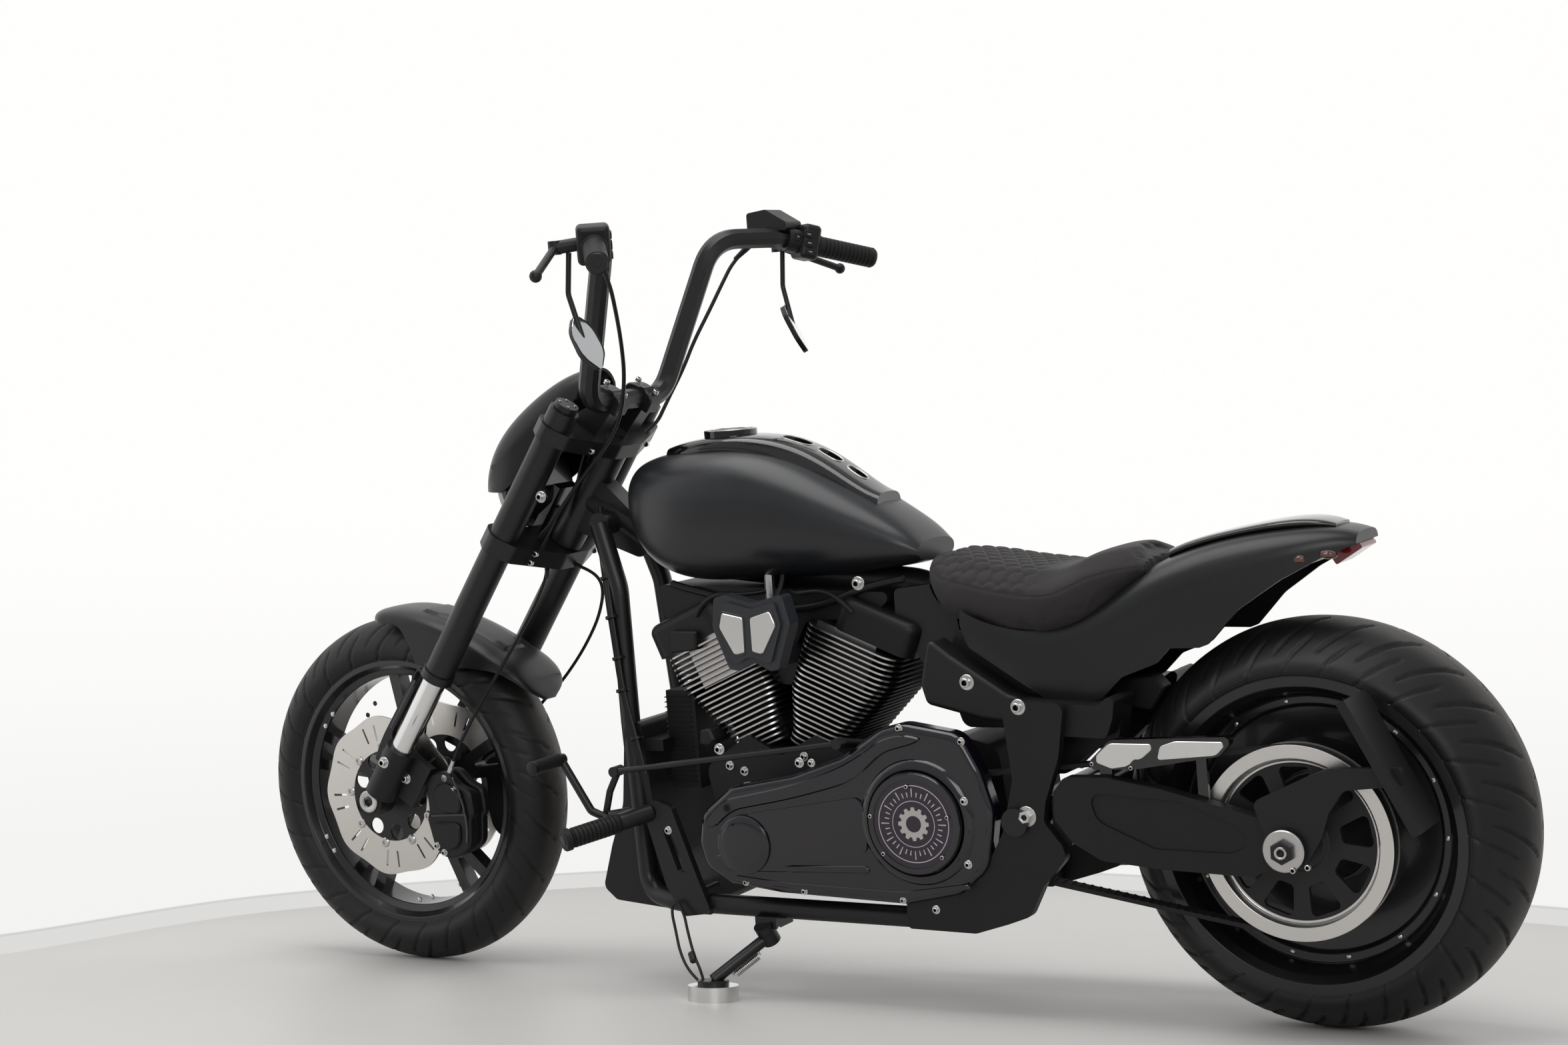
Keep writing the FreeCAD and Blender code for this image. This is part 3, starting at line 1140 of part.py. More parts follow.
def exhaust():
    front = bent_rod([(1040, -60, 520), (1092, -112, 470), (1062, -126, 330), (985, -172, 232),
                      (860, -226, 205), (698, -240, 203)], size("pipe_radius"), 80)
    rear = bent_rod([(700, -90, 520), (650, -150, 500), (640, -196, 400), (700, -226, 280), (780, -236, 222)],
                    size("pipe_radius"), 60)
    muffler = rod((702, -245, 205), (60, -265, 250), size("muffler_radius"))
    pipes = joined(front, rear, muffler).cut([built("cylinders"), built("cam_cover")])
    add("exhaust", sorted(pipes.Solids, key=lambda solid: solid.Volume)[-1])


def controls():
    """Brackets on the rails with a peg each, the shift lever with its rod, and the brake pedal."""
    face = 152
    bracket = side_slab([(1146, 322, 14), (1128, 350, 14), (1092, 338, 14), (1050, 220, 14), (1026, 158, 10),
                         (1080, 150, 10), (1112, 200, 14)], face, face + 14)
    slot = side_slab([(1112, 300, 8), (1098, 300, 8), (1070, 226, 8), (1086, 226, 8)], face - 1, face + 15)
    foot = side_slab([(1090, 200, 6), (1040, 200, 6), (1030, 152, 6), (1080, 152, 6)], 112, face)
    peg = rod((1136, face + 10, 326), (1222, 300, 303), size("peg_radius"))
    half = joined(bracket.cut(slot), foot, peg).cut(built("frame_rails"))
    half = sorted(half.Solids, key=lambda solid: solid.Volume)[-1]
    pivot = Vector(1196, face + 50, 322)
    hub = rod(tuple(pivot - Vector(30, 30, -6)), tuple(pivot + Vector(0, 0, 4)), 9)
    lever = bent_rod([tuple(pivot), (1222, 212, 336), (1275, 214, 424)], 7, 14)
    toe = rod((1275, 206, 424), (1288, 282, 420), 9)
    shift = joined(hub, lever, toe)
    pedal = bent_rod([(pivot.x, -pivot.y, pivot.z), (1224, -212, 340), (1262, -216, 408)], 7, 14)
    pad = rod((1262, -204, 408), (1270, -262, 406), 13)
    brake_hub = rod((pivot.x - 30, 30 - pivot.y, pivot.z + 6), (pivot.x, -pivot.y, pivot.z + 4), 9)
    brake = joined(brake_hub, pedal, pad)
    add("foot_controls", Part.makeCompound([half, joined(mirrored(half), brake)]))
    arm = bent_rod([(1204, 196, 326), (1196, 190, 366), (1178, 186, 402)], 6, 12)
    link = rod((1176, 198, 402), (736, 206, 459), size("lever_rod_radius"))
    eye_front = rod((1177, 180, 402), (1177, 205, 402), 9)
    eye_rear = rod((736, 214, 459), (736, 196, 459), 9)
    arm_rear = bent_rod([(736, 196, 459), (728, 150, 450), (704, 104, 440)], 7, 20)
    whole = joined(shift, arm, link, eye_front, eye_rear, arm_rear).cut(
        [half, built("primary_cover"), built("engine_case")])
    add("shift_linkage", sorted(whole.Solids, key=lambda solid: solid.Volume)[-1])


# Side stand

STAND_PIVOT = Vector(920, 160, 124)
STAND_FOOT = Vector(985, 245, 0)
FOLDED_WAY = Vector(-110, 58, -12)


FLOOR_WAY = Vector(0, -math.sin(LEAN), math.cos(LEAN))


def stand_base():
    """Middle of the puck's underside."""
    return Vector(STAND_FOOT.x, STAND_FOOT.y, ground_height(STAND_FOOT.y))


def stand_leg_way():
    """From the side stand's pivot to its foot."""
    return stand_base() + FLOOR_WAY * (size("puck_height") + 8) - STAND_PIVOT


def stand_hinge():
    """Direction of the side stand's pin, square to the leg both down and folded."""
    return stand_leg_way().cross(FOLDED_WAY).normalize()


def stand_bracket():
    """Lug under the left rail with the pin that the side stand turns on."""
    hinge = stand_hinge()
    half = size("knuckle_half")
    face = STAND_PIVOT + hinge * (half + size("bearing_gap"))
    boss = Part.makeCylinder(16, 14, face, hinge)
    pin = Part.makeCylinder(6, 2 * half + 8, STAND_PIVOT - hinge * half, hinge)
    lug = box((STAND_PIVOT.x - 20, 112, 138), (STAND_PIVOT.x + 20, STAND_PIVOT.y + 8, 158))
    clear = Part.makeCylinder(24, 40, face, hinge * -1)
    return joined(boss, lug.cut(clear), pin)


def side_stand():
    """Leg on a tilted hinge under the left rail, its foot on a round puck."""
    floor_way = FLOOR_WAY
    centre = stand_base()
    add("stand_puck", Part.makeCylinder(size("puck_radius"), size("puck_height"), centre, floor_way))
    foot_base = centre + floor_way * size("puck_height")
    foot_top = foot_base + floor_way * 8
    leg_way = stand_leg_way()
    hinge = stand_hinge()
    half = size("knuckle_half")
    foot = Part.makeCylinder(26, 8, foot_base, floor_way)
    leg = rod(tuple(STAND_PIVOT + leg_way * 0.06), tuple(foot_top), 10)
    knuckle = Part.makeCylinder(16, 2 * half, STAND_PIVOT - hinge * half, hinge)
    pin_hole = Part.makeCylinder(6 + size("bearing_gap"), 40, STAND_PIVOT - hinge * 20, hinge)
    below = Part.makeCylinder(60, 40, foot_base - floor_way * 40, floor_way)
    add("stand_leg", joined(foot, leg, knuckle).cut([pin_hole, below]))


def side_stand_trim(hinge):
    """Spring along the leg and the cord loop that stands on the foot."""
    leg_way = stand_leg_way()
    aside = hinge * (size("knuckle_half") + 7)
    start = STAND_PIVOT + leg_way * 0.24 - aside
    end = STAND_PIVOT + leg_way * 0.72 - aside
    hooks = [rod(tuple(point), tuple(point + aside * 0.9), 3.5) for point in (start, end)]
    add("stand_spring", joined(rod(tuple(start), tuple(end), 6.5), *hooks).cut(built("stand_leg")))
    loop = bent_rod(LANYARD, 2.5, 12)
    loop = loop.cut([built("stand_leg"), built("stand_puck")])
    add("stand_lanyard", sorted(loop.Solids, key=lambda solid: solid.Volume)[-1])


LANYARD = [(1003, 240, 58), (1011, 236, 80), (1035, 216, 98), (1059, 194, 136), (1072, 179, 156), (1084, 177, 177),
           (1095, 177, 173), (1097, 179, 157), (1083, 193, 135), (1062, 216, 99), (1028, 240, 72), (1000, 244, 56)]
CLUTCH_CABLE = [(1042, 326, 1262), (1030, 318, 1226), (1044, 284, 1176), (1070, 236, 1124), (1106, 180, 1068),
                (1159, 120, 1001), (1218, 90, 946), (1300, 74, 880), (1390, 62, 790)]
BRAKE_LINE = [(1128, -292, 1284), (1150, -275, 1262), (1164, -250, 1220), (1180, -225, 1173), (1203, -200, 1119),
              (1216, -178, 1071), (1238, -152, 1017), (1240, -104, 968), (1262, -62, 952)]
LEFT_HOSE = [(1392, 44, 752), (1388, 52, 730), (1401, 60, 694), (1426, 75, 642), (1462, 88, 586), (1497, 95, 539),
             (1539, 100, 481), (1585, 104, 413), (1608, 104, 366)]
RIGHT_HOSE = [(1392, -10, 742), (1345, -12, 730), (1316, -18, 700), (1347, -42, 642), (1400, -70, 586),
              (1450, -90, 540), (1492, -98, 502), (1545, -101, 462), (1585, -104, 413), (1608, -104, 366)]


def cables():
    """Control cable, brake line and both caliper hoses, held at both ends."""
    shapes = []
    for route, radius in ((CLUTCH_CABLE, 3.5), (BRAKE_LINE, 3.5), (LEFT_HOSE, 3), (RIGHT_HOSE, 3)):
        shift = on_fork(0, 0, size("fork_height")) - Vector(1268, 0, 1018)
        points = [tuple(Vector(*point) + shift) for point in route]
        shape = bent_rod(points, radius, 14)
        shape = shape.cut([built(label) for label in ("hand_controls", "upper_clamp", "lower_clamp", "front_calipers",
                                                      "handlebar")])
        shapes.append(sorted(shape.Solids, key=lambda solid: solid.Volume)[-1])
    add("control_cables", Part.makeCompound(shapes))


rear_wheel()
front_wheel()
discs()
rear_pulley()
drive_belt()
steering()
primary()
build_frame()
engine()
right_side()
bodywork()
front_covers()
rear_parts()
exhaust()
controls()
side_stand()
side_stand_trim(stand_hinge())
cables()
doc.recompute()

# Lean every sub-part to its left and put the origin under the middle
upright = Rotation(Vector(1, 0, 0), -size("lean"))
origin_x = (size("wheelbase") + size("front_radius") - size("rear_radius")) / 2
origin_y = (GRIP_Z - size("rear_radius")) * math.sin(LEAN)
base = Vector(-origin_x, -origin_y, REAR_HEIGHT) - upright.multVec(REAR_AXLE)
STAND = Placement(base, upright)
for node in nodes:
    node.Placement = STAND.multiply(node.Placement)
doc.recompute()

for item in doc.Objects:
    if "Invalid" in item.State or "Error" in item.State:
        raise RuntimeError(f"{item.Label} did not compute")
broken = [node.Label for node in nodes
          if node.Shape.isNull() or not node.Shape.isValid() or not node.Shape.Solids]
if broken:
    raise RuntimeError(f"not valid solids: {broken}")

os.makedirs("parts", exist_ok=True)
for node in nodes:
    node.Shape.exportStep(f"parts/{node.Label}.step")
    print(node.Label, len(node.Shape.Solids), round(node.Shape.Volume / 1000))
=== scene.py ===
import json
import math

import bmesh
import bpy
from mathutils import Matrix, Vector

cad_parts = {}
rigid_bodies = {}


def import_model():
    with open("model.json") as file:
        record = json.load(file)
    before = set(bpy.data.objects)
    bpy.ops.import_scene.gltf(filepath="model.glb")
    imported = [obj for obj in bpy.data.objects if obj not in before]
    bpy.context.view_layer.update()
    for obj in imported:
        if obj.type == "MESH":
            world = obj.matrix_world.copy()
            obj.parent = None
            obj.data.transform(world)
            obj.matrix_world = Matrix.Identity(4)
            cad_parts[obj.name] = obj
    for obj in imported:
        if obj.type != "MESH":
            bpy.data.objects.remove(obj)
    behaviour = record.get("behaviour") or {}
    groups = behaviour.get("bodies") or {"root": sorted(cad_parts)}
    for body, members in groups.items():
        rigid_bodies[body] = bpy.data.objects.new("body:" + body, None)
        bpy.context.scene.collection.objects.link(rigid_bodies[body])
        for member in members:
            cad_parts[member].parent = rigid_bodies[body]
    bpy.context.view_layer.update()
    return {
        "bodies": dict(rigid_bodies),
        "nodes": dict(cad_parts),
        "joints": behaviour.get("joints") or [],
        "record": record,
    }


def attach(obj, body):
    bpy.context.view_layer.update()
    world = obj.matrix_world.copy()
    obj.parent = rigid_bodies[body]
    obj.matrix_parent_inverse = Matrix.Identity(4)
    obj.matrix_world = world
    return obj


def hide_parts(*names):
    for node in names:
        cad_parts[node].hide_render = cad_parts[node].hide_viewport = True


# Chopper motorcycle in a studio. The scene is in metres, in the CAD's frame. Shapes are drawn in
# millimetres on the upright machine: X from the rear axle ahead, Y to the left, Z up from the ground.
# The matrix MACHINE leans them over on to the side stand.

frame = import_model()
nodes = frame["nodes"]

MILLI = 0.001
LEAN = math.radians(8.17)
RAKE = math.radians(35)
MIDDLE_X = 0.884
MIDDLE_Y = 0.1313
CRANK_X = 0.905
REAR_RADIUS = 0.316
REAR_CROWN = 0.150
REAR_HEIGHT = (REAR_RADIUS - REAR_CROWN) * math.cos(LEAN) + REAR_CROWN
FRONT_RADIUS = 0.324
FRONT_CROWN = 0.068
WHEELBASE = 1.760
FRONT_HEIGHT = (FRONT_RADIUS - FRONT_CROWN) * math.cos(LEAN) + FRONT_CROWN
FRONT_Z = REAR_RADIUS + (FRONT_HEIGHT - REAR_HEIGHT) / math.cos(LEAN)

UPRIGHT = (Matrix.Translation((-MIDDLE_X, -MIDDLE_Y, REAR_HEIGHT))
           @ Matrix.Rotation(-LEAN, 4, "X")
           @ Matrix.Translation((0, 0, -REAR_RADIUS)))
SMALL = Matrix.Scale(MILLI, 4)
MACHINE = UPRIGHT @ SMALL
REAR_WHEEL = UPRIGHT @ Matrix.Translation((0, 0, REAR_RADIUS))
FRONT_WHEEL = UPRIGHT @ Matrix.Translation((WHEELBASE, 0, FRONT_Z))
FORK_SHIFT = Vector((0.364, 0, -1.429))
STEERED = MACHINE @ Matrix.Translation(FORK_SHIFT)
FRONT_X = 1760
FRONT_UP = 324.24
REAR_UP = 316


# Node trees written as sums

class Wire:
    """A value of a node tree that takes part in Python sums."""

    def __init__(self, graph, socket):
        self.graph = graph
        self.socket = socket

    def __add__(self, other):
        return self.graph.maths("ADD", self, other)

    def __sub__(self, other):
        return self.graph.maths("SUBTRACT", self, other)

    def __rsub__(self, other):
        return self.graph.maths("SUBTRACT", other, self)

    def __mul__(self, other):
        return self.graph.maths("MULTIPLY", self, other)

    def __truediv__(self, other):
        return self.graph.maths("DIVIDE", self, other)

    __radd__ = __add__
    __rmul__ = __mul__


class Graph:
    """A node tree and the one way to add a node to it."""

    tree = None

    def link(self, value, socket):
        if isinstance(value, Wire):
            self.tree.links.new(value.socket, socket)
        elif isinstance(value, bpy.types.NodeSocket):
            self.tree.links.new(value, socket)
        elif socket.type == "RGBA" and len(value) == 3:
            socket.default_value = (*value, 1)
        else:
            socket.default_value = value

    def node(self, kind, settings=None, **values):
        """Any node: its settings first, then its sockets."""
        made = self.tree.nodes.new(kind if "Node" in kind else "ShaderNode" + kind)
        for name, value in (settings or {}).items():
            setattr(made, name, value)
        for name, value in values.items():
            self.link(value, made.inputs[name.replace("_", " ")])
        return made

    def maths(self, operation, *values, clamp=False):
        made = self.node("Math", {"operation": operation, "use_clamp": clamp})
        for socket, value in zip(made.inputs, values):
            self.link(value, socket)
        return Wire(self, made.outputs[0])

    def clamped(self, value):
        return self.maths("ADD", value, 0.0, clamp=True)

    def parts(self, vector):
        split = self.node("SeparateXYZ", Vector=vector)
        return [Wire(self, socket) for socket in split.outputs]


class Finish(Graph):
    """One material, its nodes and its main shader."""

    def __init__(self, name, colour, rough, metal=0.0, **sockets):
        self.material = bpy.data.materials.new(name)
        self.material.use_nodes = True
        self.tree = self.material.node_tree
        self.shader = self.tree.nodes["Principled BSDF"]
        self.set("Base Color", colour)
        self.set("Roughness", rough)
        self.set("Metallic", metal)
        for socket, value in sockets.items():
            self.set(socket.replace("_", " "), value)
        self.material.diffuse_color = (*colour[:3], 1)

    def set(self, socket, value):
        self.link(value, self.shader.inputs[socket])

    def place(self, matrix=None):
        """Object coordinates, moved into a piece's own frame."""
        spot = self.node("TexCoord").outputs["Object"]
        if matrix is None:
            return spot
        back = matrix.inverted()
        mapping = self.node("Mapping", Vector=spot)
        mapping.inputs["Location"].default_value = back.to_translation()
        mapping.inputs["Rotation"].default_value = back.to_euler()
        return mapping.outputs["Vector"]

    def stretched(self, place, scale):
        mapping = self.node("Mapping", Vector=place)
        mapping.inputs["Scale"].default_value = scale
        return mapping.outputs["Vector"]

    def facing(self, way):
        """How squarely the skin faces a direction of the upright machine, or its opposite, from 0 to 1."""
        made = self.node("VectorMath", {"operation": "DOT_PRODUCT"})
        self.link(self.node("NewGeometry").outputs["Normal"], made.inputs[0])
        made.inputs[1].default_value = upright_way(*way)
        return self.maths("ABSOLUTE", made.outputs["Value"])

    def noise(self, place, scale, detail=2.0, rough=0.5):
        made = self.node("TexNoise", None, Vector=place, Scale=scale, Detail=detail, Roughness=rough)
        return Wire(self, made.outputs["Fac"])

    def cells(self, place, scale):
        return Wire(self, self.node("TexVoronoi", None, Vector=place, Scale=scale).outputs["Distance"])

    def ramp(self, value, low, high, to_low=0.0, to_high=1.0):
        made = self.node("MapRange", {"interpolation_type": "SMOOTHSTEP"}, Value=value)
        for index, number in enumerate((low, high, to_low, to_high), 1):
            made.inputs[index].default_value = number
        return Wire(self, made.outputs["Result"])

    def mix(self, share, low, high):
        """Colour between two colours."""
        made = self.node("Mix", {"data_type": "RGBA"})
        for index, value in ((0, share), (6, low), (7, high)):
            self.link(value, made.inputs[index])
        return made.outputs[2]

    def now(self, socket):
        """What a socket of the main shader holds so far."""
        inlet = self.shader.inputs[socket]
        return Wire(self, inlet.links[0].from_socket) if inlet.is_linked else inlet.default_value

    def relief(self, height, depth, strength=1.0):
        """Fine relief of a surface, its height in metres."""
        bump = self.node("Bump", None, Height=height, Distance=depth, Strength=strength)
        if self.shader.inputs["Normal"].is_linked:
            self.link(self.now("Normal"), bump.inputs["Normal"])
        self.set("Normal", bump.outputs["Normal"])
        return self

    def bright(self, mask, colour, rough):
        """Bare metal wherever the mask is 1, over the finish below."""
        self.set("Base Color", self.mix(mask, self.now("Base Color"), (*colour, 1)))
        self.set("Roughness", self.now("Roughness") * (1 - mask) + mask * rough)
        self.set("Metallic", mask)
        return self


class Rule(Graph):
    """A Geometry Nodes tree with named inputs, run once on a mesh."""

    def __init__(self, name):
        self.tree = bpy.data.node_groups.new(name, "GeometryNodeTree")
        self.tree.interface.new_socket("Geometry", in_out="INPUT", socket_type="NodeSocketGeometry")
        self.tree.interface.new_socket("Geometry", in_out="OUTPUT", socket_type="NodeSocketGeometry")
        self.inside = self.tree.nodes.new("NodeGroupInput")
        self.outside = self.tree.nodes.new("NodeGroupOutput")

    def input(self, name, kind="Float"):
        self.tree.interface.new_socket(name, in_out="INPUT", socket_type="NodeSocket" + kind)
        socket = self.inside.outputs[name]
        return Wire(self, socket) if kind == "Float" else socket

    def attribute(self, name, kind="FLOAT"):
        made = self.node("GeometryNodeInputNamedAttribute", {"data_type": kind}, Name=name)
        socket = made.outputs["Attribute"]
        return Wire(self, socket) if kind == "FLOAT" else socket

    def finish(self, geometry, material):
        real = self.node("GeometryNodeRealizeInstances", None, Geometry=geometry)
        done = self.node("GeometryNodeSetMaterial", None, Geometry=real.outputs[0], Material=material)
        self.tree.links.new(done.outputs[0], self.outside.inputs[0])

    def run(self, mesh, **values):
        """The rule's result on a mesh, as a plain mesh."""
        holder = shown("rule holder", mesh)
        modifier = holder.modifiers.new("rule", "NODES")
        modifier.node_group = self.tree
        for item in self.tree.interface.items_tree:
            label = item.name.replace(" ", "_")
            if item.in_out == "INPUT" and label in values:
                modifier[item.identifier] = values[label]
        return plain(holder)


# Shapes

def shown(name, data):
    """A new object of the scene at its origin."""
    made = bpy.data.objects.new(name, data)
    bpy.context.scene.collection.objects.link(made)
    return made


def plain(holder):
    """What an object shows, as a mesh of its own. The object goes."""
    graph = bpy.context.evaluated_depsgraph_get()
    graph.update()
    mesh = bpy.data.meshes.new_from_object(holder.evaluated_get(graph))
    bpy.data.objects.remove(holder)
    return mesh


def clipped(value):
    """A share kept between 0 and 1."""
    return min(1.0, max(0.0, value))


def ring_of(count, offset=0.0):
    """Evenly spaced angles round a full turn."""
    return [2 * math.pi * (step + offset) / count for step in range(count)]


def rounded(corners, closed=True, steps=6):
    """A line through corners that each end with their own rounding."""
    spots = [Vector(corner[:-1]) for corner in corners]
    line = []
    for index, corner in enumerate(corners):
        here = spots[index]
        if not closed and index in (0, len(corners) - 1):
            line.append(here)
            continue
        back = spots[index - 1] - here
        on = spots[(index + 1) % len(spots)] - here
        start = here + back.normalized() * min(corner[-1], back.length * 0.48)
        end = here + on.normalized() * min(corner[-1], on.length * 0.48)
        for step in range(steps + 1):
            share = step / steps
            line.append(start * (1 - share) ** 2 + here * 2 * share * (1 - share) + end * share ** 2)
    return line


def drawn_in(ring, inset):
    """A flat ring moved inwards."""
    area = sum(a.x * b.y - b.x * a.y for a, b in zip(ring, ring[1:] + ring[:1]))
    side = math.copysign(inset, area)
    moved = []
    for before, here, after in zip(ring[-1:] + ring[:-1], ring, ring[1:] + ring[:1]):
        along = (after - before).normalized()
        moved.append(here + Vector((-along.y, along.x)) * side)
    return moved


def between(marks, place):
    """A smooth value at a place along marks of place and values."""
    marks = sorted(marks)
    index = 0
    while index < len(marks) - 2 and marks[index + 1][0] < place:
        index += 1
    low, high = marks[index], marks[index + 1]
    share = clipped((place - low[0]) / (high[0] - low[0]))
    before = marks[max(0, index - 1)]
    after = marks[min(len(marks) - 1, index + 2)]
    values = []
    for a, b, c, d in zip(before[1:], low[1:], high[1:], after[1:]):
        span = high[0] - low[0]
        start = (c - a) / max(high[0] - before[0], 1e-6) * span
        end = (d - b) / max(after[0] - low[0], 1e-6) * span
        cube, square = share ** 3, share ** 2
        values.append(b * (2 * cube - 3 * square + 1) + start * (cube - 2 * square + share)
                      + c * (3 * square - 2 * cube) + end * (cube - square))
    return values


def facing(place, way, along=(1, 0, 0)):
    """A frame in millimetres at a point of the scene, its Z along way and its X near along."""
    up = Vector(way).normalized()
    ahead = Vector(along)
    ahead = (ahead - up * ahead.dot(up)).normalized()
    turn = Matrix((ahead, up.cross(ahead), up)).transposed().to_4x4()
    return Matrix.Translation(place) @ turn @ SMALL


def upright_way(x, y, z):
    """A direction of the upright machine, in the scene's frame."""
    return (UPRIGHT.to_3x3() @ Vector((x, y, z))).normalized()


def stood(place, way, along=(1, 0, 0)):
    """A frame in millimetres at a point of the machine, its Z along a way of the machine."""
    return facing(MACHINE @ Vector(place), upright_way(*way), along)


def on_side(y, left=True, frame=MACHINE):
    """A frame for a view from the side: X ahead, Y up and Z outwards, from the plane y."""
    turn = Matrix(((1, 0, 0), (0, 0, 1 if left else -1), (0, 1, 0))).to_4x4()
    return frame @ Matrix.Translation((0, y, 0)) @ turn


def touched(name, start, way):
    """Where a line from a point of the machine meets a node, or else its start, and the way out there."""
    origin = MACHINE @ Vector(start)
    aim = upright_way(*way)
    hit, place, out, _ = nodes[name].ray_cast(origin, aim)
    return (place, out) if hit else (origin, -aim)


def spot_on(name, start, way, along, big):
    """A fastener's spot where a line meets a node, the fastener pointing back along the line."""
    return touched(name, start, way)[0], -upright_way(*way), upright_way(*along), big


def spot_at(place, way, along, big):
    """A fastener's spot at a point of the machine."""
    return MACHINE @ Vector(place), upright_way(*way), upright_way(*along), big


def smooth(mesh):
    mesh.polygons.foreach_set("use_smooth", [True] * len(mesh.polygons))


class Piece:
    """One piece of the model: its shapes, its finishes and its body."""

    def __init__(self, name, body, *finishes):
        self.name = name
        self.body = body
        self.finishes = finishes
        self.shape = bmesh.new()

    def take(self, mesh, finish=0):
        """Another mesh that is already in the scene's frame."""
        before = len(self.shape.faces)
        self.shape.from_mesh(mesh)
        self.shape.faces.ensure_lookup_table()
        for face in self.shape.faces[before:]:
            face.material_index = finish
        bpy.data.meshes.remove(mesh)
        return self

    def faces(self, points, faces, frame=MACHINE, finish=0):
        corners = [self.shape.verts.new(frame @ Vector(point)) for point in points]
        for face in faces:
            self.shape.faces.new([corners[index] for index in face]).material_index = finish
        return self

    def rows(self, rows, frame=MACHINE, finish=0, closed=False, ends=False):
        """A skin over rows of points, each row a closed ring."""
        count = len(rows[0])
        points = [point for row in rows for point in row]
        faces = []
        for row in range(len(rows) if closed else len(rows) - 1):
            after = (row + 1) % len(rows)
            for step in range(count):
                side = (step + 1) % count
                faces.append((row * count + step, row * count + side, after * count + side,
                              after * count + step))
        if ends:
            faces.append(tuple(reversed(range(count))))
            faces.append(tuple(range(len(points) - count, len(points))))
        return self.faces(points, faces, frame, finish)

    def turned(self, profile, frame, finish=0, steps=48, closed=False, stretch=1.0):
        """A profile of radius and height, turned about the frame's Z axis."""
        rows = [[(radius * math.cos(turn) * stretch, radius * math.sin(turn), height)
                 for turn in ring_of(steps, 0.5)] for radius, height in profile]
        return self.rows(rows, frame, finish, closed)

    def slab(self, outline, low, high, frame, finish=0, edge=0.0):
        """An outline of rounded corners in the frame's XY plane, between two heights, its edges bevelled."""
        ring = rounded(outline)
        soft = [(low, 0.0), (high, 0.0)]
        if edge:
            soft = [(low, edge), (low + edge, 0.0), (high - edge, 0.0), (high, edge)]
        rows = [[(spot.x, spot.y, height) for spot in drawn_in(ring, inset)] for height, inset in soft]
        return self.rows(rows, frame, finish, ends=True)

    def pipe(self, points, radius, frame=MACHINE, finish=0, closed=False, smooth=False, widths=None):
        """A round run along points."""
        curve = bpy.data.curves.new("run", "CURVE")
        curve.dimensions = "3D"
        curve.bevel_depth = radius * MILLI
        curve.bevel_resolution = 3
        curve.use_fill_caps = not closed
        spline = curve.splines.new("NURBS" if smooth else "POLY")
        spline.points.add(len(points) - 1)
        for index, (spot, point) in enumerate(zip(spline.points, points)):
            spot.co = (*(frame @ Vector(point)), 1)
            spot.radius = widths[index] if widths else 1.0
        if smooth:
            spline.order_u = 4
            spline.use_endpoint_u = not closed
            curve.resolution_u = 8
        spline.use_cyclic_u = closed
        return self.take(plain(shown("run", curve)), finish)

    def mesh(self, apart=0.0):
        """The shapes as one mesh, its points joined where they are no further apart than given."""
        if apart:
            bmesh.ops.remove_doubles(self.shape, verts=self.shape.verts, dist=apart)
        bmesh.ops.recalc_face_normals(self.shape, faces=self.shape.faces)
        mesh = bpy.data.meshes.new(self.name)
        self.shape.to_mesh(mesh)
        self.shape.free()
        return mesh

    def done(self, *replaced):
        """The finished object, riding on its body and standing for the nodes it replaces."""
        mesh = self.mesh(0.00002)
        for finish in self.finishes:
            mesh.materials.append(finish.material)
        smooth(mesh)
        mesh.set_sharp_from_angle(angle=math.radians(35))
        piece = shown(self.name, mesh)
        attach(piece, self.body)
        if replaced:
            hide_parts(*replaced)
        return piece


def fastener_rule():
    """Puts one head on every point, turned by the point's own directions."""
    rule = Rule("fasteners")
    head = rule.input("Head", "Object")
    coat = rule.input("Coat", "Material")
    size = rule.input("Size")
    shape = rule.node("GeometryNodeObjectInfo", None, Object=head).outputs["Geometry"]
    upward = rule.node("FunctionNodeAlignRotationToVector", {"axis": "Z"},
                       Vector=rule.attribute("way", "FLOAT_VECTOR"))
    turned = rule.node("FunctionNodeAlignRotationToVector", {"axis": "X", "pivot_axis": "Z"},
                       Rotation=upward.outputs[0], Vector=rule.attribute("along", "FLOAT_VECTOR"))
    scale = rule.attribute("big") * size
    placed = rule.node("GeometryNodeInstanceOnPoints", None, Points=rule.inside.outputs[0], Instance=shape,
                       Rotation=turned.outputs[0])
    stretch = rule.node("CombineXYZ", None, X=scale, Y=scale, Z=scale)
    rule.link(stretch.outputs[0], placed.inputs["Scale"])
    rule.finish(placed.outputs[0], coat)
    return rule


def fastened(name, body, finish, head, spots, size=1.0):
    """Many equal heads as one piece. A spot is a place, a way out, a way along and a share of the size."""
    mesh = bpy.data.meshes.new(name)
    mesh.from_pydata([spot[0] for spot in spots], [], [])
    for label, index in (("way", 1), ("along", 2)):
        layer = mesh.attributes.new(label, "FLOAT_VECTOR", "POINT")
        layer.data.foreach_set("vector", [number for spot in spots for number in spot[index]])
    layer = mesh.attributes.new("big", "FLOAT", "POINT")
    layer.data.foreach_set("value", [spot[3] for spot in spots])
    piece = Piece(name, body, finish)
    piece.take(FASTENERS.run(mesh, Head=head, Coat=finish.material, Size=size))
    return piece.done()


def as_head(piece, dark=lambda spot: 0.0):
    """A small shape for the fasteners, marked where painted shade darkens its socket's recess."""
    mesh = piece.mesh(0.00001)
    layer = mesh.attributes.new("socket", "FLOAT", "POINT")
    layer.data.foreach_set("value", [dark(vertex.co / MILLI) for vertex in mesh.vertices])
    return bpy.data.objects.new("head", mesh)


